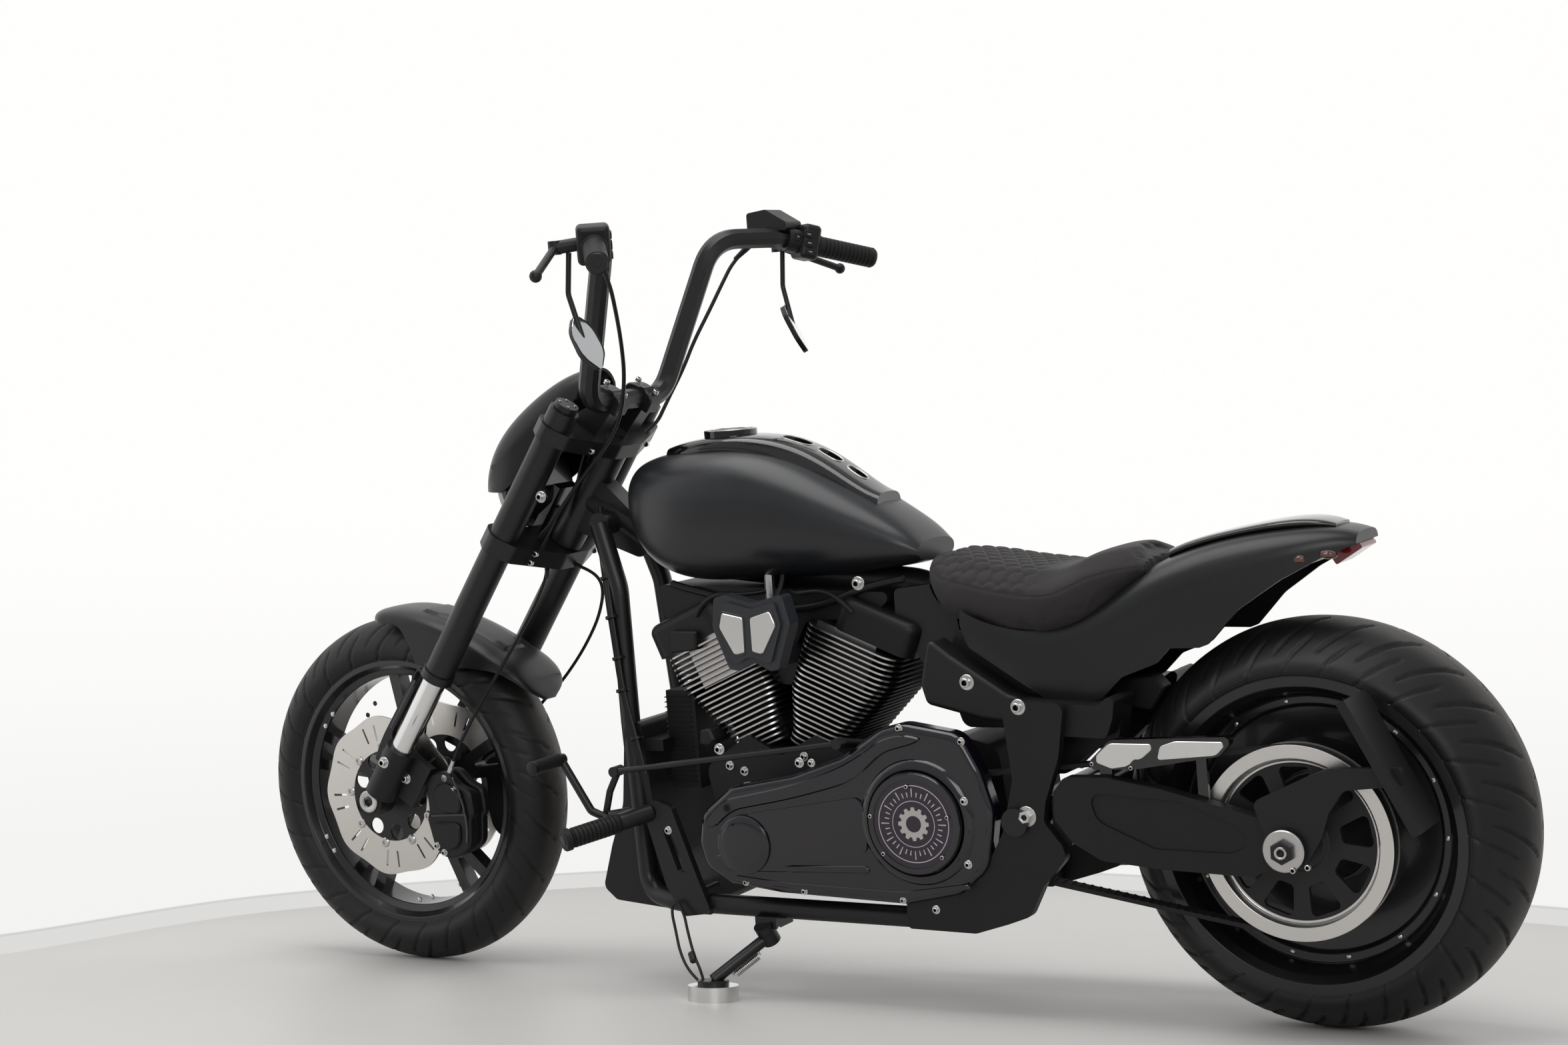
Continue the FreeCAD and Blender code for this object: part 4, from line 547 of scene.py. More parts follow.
def head_of(profile, steps=16, socket=0.0):
    """A fastener turned from a profile in millimetres, marked for painted shade inside the socket's radius.
    """
    piece = Piece("head", "chassis")
    piece.turned(profile, SMALL, steps=steps)
    return as_head(piece, lambda spot: float(spot.xy.length < socket and spot.z > 0.1))


FASTENERS = fastener_rule()
SOCKET_SCREW = head_of([(0, 1.5), (2.9, 1.5), (3.1, 6.2), (3.4, 6.6), (4.6, 6.6), (5.4, 5.8), (5.6, 0),
                        (0, 0)], 20, 3.2)
WASHER_SCREW = head_of([(0, 4), (3.6, 4), (3.9, 9.2), (4.3, 9.6), (5.8, 9.6), (6.6, 8.6), (6.8, 2.2),
                        (10.2, 2.0), (10.8, 1.2), (10.8, 0), (0, 0)], 24, 4.0)
HEX_NUT = head_of([(0, 6), (4.4, 6), (4.8, 11.4), (5.6, 12), (8.6, 11.8), (9.8, 10.4), (9.8, 0),
                   (0, 0)], 6, 4.6)
NUT_WASHER = head_of([(8, 0), (8, 2.6), (14.6, 2.4), (15.4, 1.6), (15.4, 0)], 32)
BUTTON = head_of([(0, 1.2), (3.6, 1.2), (4.2, 3.4), (7.4, 3.4), (9.6, 1.2), (9.8, 0), (0, 0)], 20, 3.8)
RIVET = head_of([(0, 3.0), (2.4, 2.8), (4.2, 1.8), (5.0, 0.0), (0, 0)], 14)
BELT_TOOTH = as_head(Piece("head", "chassis").slab(
    [(-4.4, -0.6, 0.4), (4.4, -0.6, 0.4), (2.6, 4.2, 1.6), (-2.6, 4.2, 1.6)], -12.5, 12.5,
    SMALL @ Matrix.Rotation(math.radians(90), 4, "X")))
COOLER_FIN = as_head(Piece("head", "chassis").slab(
    [(-22, -67, 2), (31, -67, 2), (31, 67, 2), (-22, 67, 2)], -0.7, 0.7, SMALL))
HEADS = (SOCKET_SCREW, WASHER_SCREW, HEX_NUT, NUT_WASHER, BUTTON, RIVET, BELT_TOOTH, COOLER_FIN)


# Finishes

def tinted(colour, *shares):
    """A colour made darker or lighter by each share."""
    return [[part * share for part in colour] for share in shares]


def clouded(name, colour, rough, cloud, tint, spread, start, **sockets):
    """A finish whose colour and roughness drift together with one soft noise."""
    made = Finish(name, colour, rough, **sockets)
    place = made.place()
    drift = made.noise(place, *cloud)
    made.set("Base Color", made.mix(drift, *tinted(colour, *tint)))
    made.set("Roughness", drift * spread + start)
    return made, place


def satin_paint(name, colour, rough, level=0.3):
    """Satin paint with a faint orange peel."""
    paint, place = clouded(name, colour, rough, (9, 4), (0.86, 1.16), 0.12, rough - 0.06,
                           Specular_IOR_Level=level)
    return paint.relief(paint.noise(place, 420, 2), 0.00003)


def gloss_paint(name, colour, rough, coat=0.6):
    """Deep gloss paint under clear coat."""
    paint, place = clouded(name, colour, rough, (5, 3), (0.9, 1.1), 0.06, rough, Coat_Weight=coat,
                           Coat_Roughness=0.05)
    return paint.relief(paint.noise(place, 260, 1), 0.00001)


def cast_black(name, colour, rough):
    """Powder-coated casting: a fine pebbled skin."""
    skin, place = clouded(name, colour, rough, (14, 3), (0.8, 1.2), 0.14, rough - 0.07,
                          Specular_IOR_Level=0.3)
    return skin.relief(skin.cells(place, 900), 0.0001, 0.6)


def rubber(name, colour, rough, level):
    """Moulded rubber."""
    skin, place = clouded(name, colour, rough, (22, 4), (0.8, 1.25), 0.16, rough - 0.08,
                          Specular_IOR_Level=level)
    return skin.relief(skin.noise(place, 700, 2), 0.00006)


def suede(name, colour):
    """Dark suede-like seat cover: a short nap and soft brushed clouds."""
    hide, place = clouded(name, colour, 0.75, (12, 5, 0.6), (0.72, 1.3), 0.14, 0.66, Sheen_Weight=0.05,
                          Sheen_Roughness=0.5, Specular_IOR_Level=0.3)
    return hide.relief(hide.noise(place, 900, 3), 0.00012, 0.7)


def moulded(name, colour, rough):
    """Moulded plastic with a fine leather-like grain."""
    skin = Finish(name, colour, rough, Specular_IOR_Level=0.3)
    place = skin.place()
    skin.set("Roughness", skin.noise(place, 30, 3) * 0.1 + (rough - 0.05))
    skin.set("Base Color", skin.mix(skin.noise(place, 11, 2), *tinted(colour, 0.88, 1.12)))
    return skin.relief(skin.cells(place, 1400), 0.00005, 0.5)


def bright_metal(name, colour, rough, along=(900, 40, 900)):
    """Machined metal with fine lines."""
    metal = Finish(name, colour, rough, 1.0)
    place = metal.place()
    lines = metal.noise(metal.stretched(place, along), 1, 2)
    cloud = metal.noise(place, 18, 3)
    metal.set("Base Color", metal.mix(cloud, *tinted(colour, 0.9, 1.0)))
    metal.set("Roughness", lines * 0.14 + cloud * 0.08 + (rough - 0.08))
    return metal.relief(lines, 0.00002, 0.5)


def screw_metal(name, colour, rough):
    """Bright fastener metal with painted shade, near black, in the recesses of its sockets."""
    metal = bright_metal(name, colour, rough, (300, 300, 300))
    socket = metal.node("Attribute", {"attribute_name": "socket"}).outputs["Fac"]
    # Painted shade: the socket mark darkens each recess to near black.
    metal.set("Base Color", metal.mix(socket, metal.now("Base Color"), (0.02, 0.02, 0.02, 1)))
    return metal


def about(skin, hub):
    """A wheel's own coordinates on a finish, the distance to its middle plane and to its axis."""
    place = skin.place(hub)
    x, y, z = skin.parts(place)
    return place, skin.maths("ABSOLUTE", y), skin.maths("SQRT", x * x + z * z)


def tyre_rubber(name, colour, radius, hub):
    """Tyre: worn brownish middle, dusty shoulders, fine concentric lines on the walls."""
    skin = rubber(name, colour, 0.5, 0.32)
    place, side, reach = about(skin, hub)
    worn = skin.ramp(reach, radius - 0.012, radius - 0.001) * skin.ramp(side, 0.012, 0.07, 1.0, 0.25)
    dusty = skin.noise(skin.stretched(place, (1, 3, 1)), 16, 5, 0.6)
    skin.set("Base Color", skin.mix(worn * dusty, skin.now("Base Color"), (0.058, 0.052, 0.048, 1)))
    wall = 1 - skin.ramp(reach, radius - 0.075, radius - 0.06)
    return skin.relief(skin.maths("SINE", reach * 1500) * wall, 0.00022, 0.8)


def finned(name, colour):
    """Cylinder black whose fins are bare and bright along their outer edges."""
    skin = cast_black(name, colour, 0.45)
    x, y, z = skin.parts(skin.place(UPRIGHT))
    bare = 0
    for lean, ahead in ((22.5, x), (-22.5, 2 * CRANK_X - x)):
        turn = math.radians(lean)
        flat = skin.facing((math.sin(turn), 0, math.cos(turn)))
        bare = skin.ramp(flat, 0.25, 0.1) * skin.ramp(ahead, CRANK_X - 0.002, CRANK_X + 0.002) + bare
    outer = skin.ramp(skin.facing((0, 1, 0)), 0.55, 0.85) * skin.ramp(skin.maths("ABSOLUTE", y), 0.070, 0.080)
    return skin.bright(bare * skin.ramp(z, 0.43, 0.46) * outer, (0.60, 0.59, 0.585), 0.26)


def disc_steel(name, hub, inner):
    """Brake disc: a ground silver ring on a black carrier."""
    skin = cast_black(name, (0.016, 0.016, 0.017), 0.4)
    _, _, reach = about(skin, hub)
    ring = skin.ramp(reach, inner, inner + 0.0008)
    skin.bright(ring, (0.62, 0.60, 0.57), 0.26)
    return skin.relief(skin.maths("SINE", reach * 5200) * ring, 0.00002, 0.6)


def pulley_black(name, hub):
    """Belt pulley: a bright ring outside a dark web."""
    skin = cast_black(name, (0.016, 0.016, 0.017), 0.42)
    _, _, reach = about(skin, hub)
    return skin.bright(skin.ramp(reach, 0.118, 0.1187), (0.70, 0.69, 0.67), 0.3)


def fluted(skin, count, depth, strength):
    """Upright flutes across a lens."""
    _, y, _ = skin.parts(skin.place(UPRIGHT))
    return skin.relief(skin.maths("SINE", y * count), depth, strength)


def dark_glass(name):
    """Lamp glass over a shaded bowl."""
    pane = Finish(name, (0.30, 0.31, 0.32), 0.06, 0.0, Coat_Weight=0.6, Coat_Roughness=0.03)
    cloud = pane.noise(pane.place(UPRIGHT), 30, 3)
    pane.set("Base Color", pane.mix(cloud, (0.20, 0.21, 0.22, 1), (0.42, 0.43, 0.44, 1)))
    return fluted(pane, 900, 0.0002, 0.4)


SATIN = satin_paint("satin black", (0.0088, 0.0092, 0.0104), 0.35, 0.38)
TANK_SATIN = satin_paint("tank satin black", (0.0108, 0.0118, 0.0140), 0.33, 0.5)
HORN_GREY = satin_paint("dark grey satin", (0.026, 0.028, 0.033), 0.32, 0.4)
GLOSS = gloss_paint("gloss black", (0.004, 0.004, 0.005), 0.1, 0.5)
PRIMARY = gloss_paint("gloss black with a violet sheen", (0.0045, 0.0032, 0.0070), 0.10, 0.35)
DERBY = gloss_paint("dark purple black", (0.012, 0.006, 0.019), 0.22, 0.25)
RIM_BLACK = gloss_paint("rim black", (0.006, 0.006, 0.007), 0.24, 0.2)
SIDE_LENS = gloss_paint("smoked lens", (0.10, 0.03, 0.02), 0.1)
LAMP = gloss_paint("lamp black", (0.006, 0.006, 0.007), 0.15)
LENS = fluted(gloss_paint("dark red lens", (0.16, 0.006, 0.008), 0.1), 1300, 0.0003, 0.6)
GLASS = dark_glass("lamp glass")
CAST = cast_black("black casting", (0.0075, 0.0077, 0.0085), 0.46)
COOLER = cast_black("cooler black", (0.004, 0.004, 0.0045), 0.6)
CYLINDER = finned("cylinder black", (0.006, 0.006, 0.0065))
PLASTIC = moulded("black plastic", (0.010, 0.0102, 0.0112), 0.44)
STEEL = bright_metal("brushed steel", (0.56, 0.55, 0.54), 0.28)
SILVER = bright_metal("machined aluminium", (0.78, 0.78, 0.77), 0.2)
CHROME = bright_metal("polished tube", (0.80, 0.80, 0.80), 0.14, (60, 900, 60))
MIRROR = bright_metal("mirror glass", (0.88, 0.89, 0.90), 0.06, (20, 20, 20))
BRIGHT_SCREW = screw_metal("bright screws", (0.62, 0.62, 0.61), 0.26)
BLACK_RUBBER = rubber("black rubber", (0.008, 0.008, 0.0085), 0.55, 0.3)
CORD_BLACK = rubber("cord jacket", (0.007, 0.007, 0.0075), 0.42, 0.3)
REAR_TREAD = tyre_rubber("rear tyre rubber", (0.0085, 0.0086, 0.0092), REAR_RADIUS, REAR_WHEEL)
FRONT_TREAD = tyre_rubber("front tyre rubber", (0.0095, 0.0096, 0.0102), FRONT_RADIUS, FRONT_WHEEL)
SEAT = suede("seat suede", (0.0200, 0.0176, 0.0178))
FRONT_DISC_STEEL = disc_steel("front disc steel", FRONT_WHEEL, 0.0845)
REAR_DISC_STEEL = disc_steel("rear disc steel", REAR_WHEEL, 0.096)
PULLEY = pulley_black("pulley black and bright", REAR_WHEEL)

FINISHES = {
    SATIN: ["fork_outers", "lower_clamp", "upper_clamp", "handlebar", "frame_backbone", "frame_rails",
            "swingarm_bridge", "mirrors", "oil_tank", "exhaust", "stand_leg", "cowl", "front_fender",
            "tail_section", "foot_controls", "shift_linkage", "grips"],
    TANK_SATIN: ["fuel_tank"],
    GLOSS: ["tank_console", "tail_pad", "fuel_cap", "belt_guard"],
    PRIMARY: ["primary_cover"],
    DERBY: ["clutch_cover"],
    HORN_GREY: ["horn_cover"],
    CAST: ["swingarm_arms", "fork_bottoms", "front_calipers", "rear_caliper", "engine_case", "cam_cover",
           "air_cleaner", "frame_plates", "rocker_covers"],
    RIM_BLACK: ["front_rim", "rear_rim"],
    CYLINDER: ["cylinders"],
    COOLER: ["regulator"],
    PLASTIC: ["side_covers", "chin_spoiler", "plate_holder", "hand_controls"],
    STEEL: ["rear_axle", "front_axle", "stand_spring"],
    FRONT_DISC_STEEL: ["front_discs"],
    REAR_DISC_STEEL: ["rear_disc"],
    PULLEY: ["rear_pulley"],
    SILVER: ["stand_puck"],
    CHROME: ["fork_stanchions"],
    BLACK_RUBBER: ["drive_belt"],
    CORD_BLACK: ["control_cables", "stand_lanyard"],
    FRONT_TREAD: ["front_tyre"],
    REAR_TREAD: ["rear_tyre"],
    SEAT: ["seat"],
    LENS: ["tail_lamp"],
    LAMP: ["headlamp"],
}


def shade(piece, finish):
    """One finish on the whole of a piece."""
    piece.data.materials.clear()
    piece.data.materials.append(finish.material)


for finish, names in FINISHES.items():
    for name in names:
        shade(nodes[name], finish)


# Camera and cords

EYE = (-1.211 - MIDDLE_X, 3.739 - MIDDLE_Y, 0.578)
EYE_YAW = math.radians(-59.81)
EYE_PITCH = math.radians(3.19)
EYE_ROLL = math.radians(-0.16)


def studio_camera():
    """The photograph's viewpoint."""
    lens = bpy.data.cameras.new("camera")
    lens.lens = 57.41
    lens.sensor_width = 36
    lens.shift_x = -0.0004
    lens.shift_y = -0.0082
    camera = shown("camera", lens)
    level = math.cos(EYE_PITCH)
    ahead = Vector((level * math.cos(EYE_YAW), level * math.sin(EYE_YAW), math.sin(EYE_PITCH)))
    turn = ahead.to_track_quat("-Z", "Y").to_matrix() @ Matrix.Rotation(EYE_ROLL, 3, "Z")
    camera.location = EYE
    camera.rotation_euler = turn.to_euler()
    bpy.context.scene.camera = camera


CLUTCH_CABLE = [(1042, 326, 1262), (1030, 318, 1226), (1044, 284, 1176), (1070, 236, 1124), (1106, 180, 1068),
                (1159, 120, 1001), (1218, 90, 946), (1300, 74, 880), (1390, 62, 790)]
BRAKE_LINE = [(1128, -292, 1284), (1150, -275, 1262), (1164, -250, 1220), (1180, -225, 1173),
              (1203, -200, 1119), (1216, -178, 1071), (1238, -152, 1017), (1240, -104, 968), (1262, -62, 952)]
LEFT_HOSE = [(1392, 44, 752), (1388, 52, 730), (1401, 60, 694), (1426, 75, 642), (1462, 88, 586),
             (1497, 95, 539), (1539, 100, 481), (1585, 104, 413), (1608, 104, 366)]
RIGHT_HOSE = [(1392, -10, 742), (1345, -12, 730), (1316, -18, 700), (1347, -42, 642), (1400, -70, 586),
              (1450, -90, 540), (1492, -98, 502), (1545, -101, 462), (1585, -104, 413), (1608, -104, 366)]
LANYARD = [(1003, 240, 58), (1011, 236, 80), (1035, 216, 98), (1059, 194, 136), (1072, 179, 156),
           (1084, 177, 177), (1095, 177, 173), (1097, 179, 157), (1083, 193, 135), (1062, 216, 99),
           (1028, 240, 72), (1000, 244, 56)]


def cord_curve(name, body, route, diameter, frame, finish):
    """A cord as one smooth open line through its route's space."""
    curve = bpy.data.curves.new(name, "CURVE")
    curve.dimensions = "3D"
    curve.bevel_depth = diameter / 2
    curve.bevel_resolution = 4
    curve.resolution_u = 12
    curve.use_fill_caps = True
    spline = curve.splines.new("NURBS")
    spline.points.add(len(route) - 1)
    for spot, point in zip(spline.points, route):
        spot.co = (*(frame @ Vector(point)), 1)
    spline.order_u = 3
    spline.use_endpoint_u = True
    curve.materials.append(finish.material)
    piece = shown(name, curve)
    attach(piece, body)
    return piece


def run_of(piece):
    """The points that a cord follows, and its length."""
    line = piece.data.copy()
    line.bevel_depth = 0
    mesh = plain(shown("line", line))
    points = [vertex.co.copy() for vertex in mesh.vertices]
    bpy.data.meshes.remove(mesh)
    bpy.data.curves.remove(line)
    return points, sum((b - a).length for a, b in zip(points, points[1:]))


def fitting(piece, points, start, profile, steps=20, finish=0):
    """A turned fitting on a cord's end, its profile as radius and distance from the end in millimetres."""
    spot, on = (points[0], points[2]) if start else (points[-1], points[-3])
    piece.turned(profile, facing(spot, on - spot, (0, 0.3, 1)), finish, steps)


def cords():
    """Every free cord, with its end fittings."""
    runs = (("clutch_cable", CLUTCH_CABLE, 0.007), ("brake_line", BRAKE_LINE, 0.007),
            ("left_brake_hose", LEFT_HOSE, 0.006), ("right_brake_hose", RIGHT_HOSE, 0.006))
    for name, route, diameter in runs:
        cord = cord_curve(name, "steering", route, diameter, STEERED, CORD_BLACK)
        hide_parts("control_cables")
        points, length = run_of(cord)
        ends = Piece(name + "_fittings", "steering", BRIGHT_SCREW, CORD_BLACK)
        radius = diameter / 2 / MILLI
        boot = [(0, -2), (radius + 2.4, -2), (radius + 2.2, 8), (radius + 0.5, 34), (0, 34)]
        fitting(ends, points, True, boot, finish=1)
        if "hose" in name:
            fitting(ends, points, False, [(0, -4), (radius + 1.6, -4), (radius + 2.4, 4), (radius + 2.4, 20),
                                          (radius + 1.2, 22), (radius + 1.0, 34), (0, 34)])
            out = 1 if "left" in name else -1
            ends.turned([(0, -7), (8.2, -7), (8.6, -6), (8.6, 6), (8.2, 7), (6.4, 7), (6.4, 12), (0, 12)],
                        facing(points[-1], upright_way(0, out, 0)), 0, 20)
        else:
            fitting(ends, points, False, boot, finish=1)
        ends = ends.done()
    loop = cord_curve("lanyard", "side_stand", LANYARD, 0.005, MACHINE, CORD_BLACK)
    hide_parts("stand_lanyard")
    points, length = run_of(loop)
    lock = Piece("lanyard_lock", "side_stand", PLASTIC)
    lock.turned([(0, -9), (5.4, -9), (6.4, -7.6), (6.4, 7.6), (5.4, 9), (0, 9)],
                facing(MACHINE @ Vector((1036, 219, 96)), upright_way(24, -22, 30)), 0, 20)
    lock = lock.done()


studio_camera()
cords()


# Tyres

def tread_rule():
    """Sinks curved slashes into a tyre, first on one side and then, half a pitch on, on the other."""
    rule = Rule("tread")
    coat = rule.input("Coat", "Material")
    count = rule.input("Count")
    slant = rule.input("Slant")
    pitch = rule.input("Pitch")
    half_width = rule.input("Half width")
    depth = rule.input("Depth")
    around = rule.attribute("around")
    side = rule.attribute("side")
    tread = rule.attribute("tread")
    reach = rule.maths("ABSOLUTE", side)
    hand = rule.maths("SIGN", side)
    mask = None
    for start, low, high, share in ((0.0, 0.06, 0.70, 1.0), (0.5, 0.42, 0.97, 0.8)):
        shift = rule.maths("POWER", reach, 0.8) * slant + hand * 0.25 + start
        phase = rule.maths("FRACT", around * count + shift + 8)
        away = rule.maths("ABSOLUTE", phase - 0.5) * pitch
        middle = (low + high) / 2
        taper = rule.clamped(1 - rule.maths("POWER", (reach - middle) / ((high - low) / 2), 2.0))
        width = rule.maths("SQRT", taper) * half_width * share
        cut = rule.clamped((width - away) / 0.0012)
        mask = cut if mask is None else rule.maths("MAXIMUM", mask, cut)
    normal = rule.node("GeometryNodeInputNormal").outputs[0]
    sunk = rule.node("VectorMath", {"operation": "SCALE"})
    rule.link(normal, sunk.inputs[0])
    rule.link(mask * tread * depth * -1, sunk.inputs["Scale"])
    moved = rule.node("GeometryNodeSetPosition", None, Geometry=rule.inside.outputs[0],
                      Offset=sunk.outputs[0])
    rule.finish(moved.outputs[0], coat)
    return rule


def along_section(section, count):
    """Evenly spaced points along a tyre's half section, with soft corners and their share of its length."""
    spans = [(Vector(a), Vector(b)) for a, b in zip(section, section[1:])]
    total = sum((b - a).length for a, b in spans)
    line = []
    for index in range(count + 1):
        aim = total * index / count
        for a, b in spans:
            span = (b - a).length
            if aim <= span + 1e-9:
                break
            aim -= span
        line.append(a.lerp(b, aim / span))
    smoothed = []
    for index, spot in enumerate(line):
        if 2 < index < count - 1:
            near = line[index - 2:index + 3]
            spot = sum(near, Vector((0, 0))) / len(near)
        smoothed.append((spot.x, spot.y, index / count))
    return smoothed


def tyre(name, body, hub, node, finish, section, bead, steps, fine, **tread):
    """A tyre turned from its half section, its tread sunk by the rule."""
    half = along_section(section, fine)
    ring = [(-y, reach, -share, 1.0) for y, reach, share in reversed(half[1:])]
    ring += [(y, reach, share, 1.0) for y, reach, share in half]
    ring += [(y, reach, 1.0, 0.0) for y, reach in bead]
    ring += [(-y, reach, -1.0, 0.0) for y, reach in reversed(bead)]
    rows = [[(reach * math.cos(turn), y, reach * math.sin(turn)) for y, reach, _, _ in ring]
            for turn in ring_of(steps)]
    mesh = Piece(name, body).rows(rows, hub @ SMALL, closed=True).mesh()
    marks = {"around": [step / steps for step in range(steps) for _ in ring],
             "side": [share for _, _, share, _ in ring] * steps,
             "tread": [outside for _, _, _, outside in ring] * steps}
    for label, values in marks.items():
        mesh.attributes.new(label, "FLOAT", "POINT").data.foreach_set("value", values)
    smooth(mesh)
    result = TREAD.run(mesh, Coat=finish.material, **tread)
    for label in marks:
        result.attributes.remove(result.attributes[label])
    result.name = name
    piece = shown(name, result)
    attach(piece, body)
    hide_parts(node)


TREAD = tread_rule()
REAR_SECTION = [(0, 316), (22, 314.4), (44, 309.4), (66, 300.7), (84, 290.3), (100, 277.8), (112, 268.6),
                (120, 260.5), (124.4, 252.5), (123.4, 245.5), (118.5, 239.5), (113.5, 234)]
FRONT_SECTION = [(0, 324), (10, 323.3), (20, 321.0), (32, 316.0), (42, 309.5), (51, 301.0), (58, 291.5),
                 (62.2, 281.0), (63.4, 272.0), (61.6, 262.0), (56.5, 253.0), (49.0, 246.5), (45.5, 243.0)]
tyre("rear_tyre_tread", "rear_wheel", REAR_WHEEL, "rear_tyre", REAR_TREAD, REAR_SECTION,
     [(110, 230), (106, 238), (104, 248), (84, 272), (40, 297), (0.5, 303)], 640, 34,
     Count=27.0, Slant=1.5, Pitch=0.0735, Half_width=0.0042, Depth=0.0042)
tyre("front_tyre_tread", "front_wheel", FRONT_WHEEL, "front_tyre", FRONT_TREAD, FRONT_SECTION,
     [(42, 242), (40, 250), (46, 268), (40, 292), (20, 309), (0.5, 312)], 600, 30,
     Count=24.0, Slant=1.3, Pitch=0.0848, Half_width=0.0032, Depth=0.0034)


# Seat

SEAT_STATIONS = [(632, 716, 742, 36), (618, 690, 749, 78), (590, 652, 746, 110), (560, 636, 741, 128),
                 (530, 630, 736, 139), (495, 624, 729, 147), (460, 619, 724, 152), (424, 618, 720, 155),
                 (388, 620, 719, 156), (358, 627, 727, 153), (330, 638, 739, 147), (304, 656, 745, 138),
                 (280, 676, 746, 126), (256, 694, 743, 112), (240, 706, 738, 98)]
PUFF_PITCH = 27
PUFF_RISE = 4.4
PUFF_ENDS = (398, 626)


def blown_up(mesh, most):
    """A cushion's skin under a little pressure from inside, each point moved by the most given."""
    holder = shown("blown", mesh)
    before = [vertex.co.copy() for vertex in mesh.vertices]
    cloth = holder.modifiers.new("cloth", "CLOTH")
    for label, value in (("quality", 4), ("mass", 0.2), ("tension_stiffness", 12),
                         ("compression_stiffness", 12), ("bending_stiffness", 0.4), ("use_pressure", True),
                         ("uniform_pressure_force", 4)):
        setattr(cloth.settings, label, value)
    cloth.settings.effector_weights.gravity = 0
    cloth.collision_settings.use_collision = False
    scene = bpy.context.scene
    for moment in range(1, 21):
        scene.frame_set(moment)
    graph = bpy.context.evaluated_depsgraph_get()
    after = [vertex.co.copy() for vertex in holder.evaluated_get(graph).data.vertices]
    holder.modifiers.remove(cloth)
    scene.frame_set(1)
    for vertex, start, end in zip(mesh.vertices, before, after):
        move = end - start
        if move.length > most:
            move = move.normalized() * most
        vertex.co = start + move
    bpy.data.objects.remove(holder)
    return mesh


def puff(x, y):
    """Height of the honeycomb quilting at a place on the seat's top, from 0 in its seams to 1."""
    row_step = PUFF_PITCH * math.sqrt(3) / 2
    row = round(y / row_step)
    away = []
    for near in (row - 1, row, row + 1):
        shift = PUFF_PITCH / 2 if near % 2 else 0
        column = round((x - shift) / PUFF_PITCH)
        away += [math.hypot(x - shift - spot * PUFF_PITCH, y - near * row_step)
                 for spot in (column - 1, column, column + 1)]
    return 1 - clipped(min(away) / (PUFF_PITCH * 0.56)) ** 3.2


def modified(mesh, kind, **settings):
    """A mesh after one modifier."""
    holder = shown("holder", mesh)
    modifier = holder.modifiers.new("step", kind)
    for label, value in settings.items():
        setattr(modifier, label, value)
    return plain(holder)


def seat():
    """Padded seat: a crowned form blown up by Cloth, then its honeycomb front and its edge seam."""
    piece = Piece("seat_form", "chassis")
    rows = []
    for step in range(49):
        x = 632 - 394 * step / 48
        low, high, half = between(SEAT_STATIONS, x)
        row = []
        for turn in ring_of(72):
            c, s = math.cos(turn), math.sin(turn)
            y = (half - 3) * math.copysign(abs(c) ** 0.66, c)
            z = ((high - low) / 2 - 2) * math.copysign(abs(s) ** 0.66, s)
            row.append((x, y, (low + high) / 2 + z))
        rows.append(row)
    mesh = modified(piece.rows(rows, ends=True).mesh(), "REMESH", mode="VOXEL", voxel_size=0.005)
    mesh = blown_up(mesh, 0.006)
    mesh = modified(mesh, "SUBSURF", levels=1, render_levels=1)
    back = MACHINE.inverted()
    turn = UPRIGHT.to_3x3().inverted()
    normals = [vertex.normal.copy() for vertex in mesh.vertices]
    for vertex, normal in zip(mesh.vertices, normals):
        spot = back @ vertex.co
        up = (turn @ normal).z
        ahead = clipped((spot.x - PUFF_ENDS[0]) / 34) * clipped((PUFF_ENDS[1] - spot.x) / 16)
        top = clipped((up - 0.45) / 0.25)
        rise = (puff(spot.x, spot.y) - 0.55) * PUFF_RISE * ahead * top
        seam = abs(up - 0.36)
        if seam < 0.12 and spot.z > 660:
            rise -= 1.3 * (1 - seam / 0.12)
        vertex.co += normal * rise * MILLI
    mesh.name = "seat_cover"
    smooth(mesh)
    cover = shown("seat_cover", mesh)
    shade(cover, SEAT)
    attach(cover, "chassis")
    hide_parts("seat")


seat()


# Steering: handlebar, grips, fender, lamp and their small parts

BAR_CORNERS = [(957, 455, 1248, 0), (1068, 300, 1296, 30), (1132, 174, 1298, 52), (1228, 118, 1026, 44)]
BAR_RADIUS = 18.6
GRIP_START = (1026.2, 358.8, 1276.4)
GRIP_WAY = (-0.5646, 0.7884, -0.2442)
FORK_LEAD = 0.005
FORKED = (UPRIGHT
          @ Matrix.Translation((WHEELBASE - FORK_LEAD * math.cos(RAKE), 0,
                                FRONT_Z - FORK_LEAD * math.sin(RAKE)))
          @ Matrix.Rotation(-RAKE, 4, "Y") @ SMALL)
FENDER_HALF = 76.5
FENDER_STATIONS = [(86, 5, 0, 20, 60), (89, 7, 0, 24, 72), (93, 8, 0, 26, 76), (98, 8, 5, 26, FENDER_HALF),
                   (102.4, 8, 30, 26, FENDER_HALF), (106, 8, 54, 26, FENDER_HALF),
                   (108, 8, 64, 26, FENDER_HALF), (114, 9, 58, 26, FENDER_HALF),
                   (122, 13, 46, 26, FENDER_HALF), (130, 20, 24, 26, FENDER_HALF),
                   (134, 24, 12, 26, FENDER_HALF), (140, 33, 1, 22, 74), (145, 36, 0, 14, 66),
                   (149, 33, 0, 8, 48), (152, 27, 0, 4, 16)]
FENDER_PANEL = (102, 134)
FENDER_REACH = 337
FENDER_WALL = 3.6


def side_spots(name, marks, big, side=1, start=300, rise=0.3):
    """Fastener spots on a node's left or right face, from X and Z."""
    return [spot_on(name, (x, side * start, z), (0, -side, 0), (1, 0, rise), big) for x, z in marks]


def level_of(name, x, z, side):
    """The Y of a node's left or right face at X and Z."""
    return (MACHINE.inverted() @ touched(name, (x, side * 330, z), (0, -side, 0))[0]).y


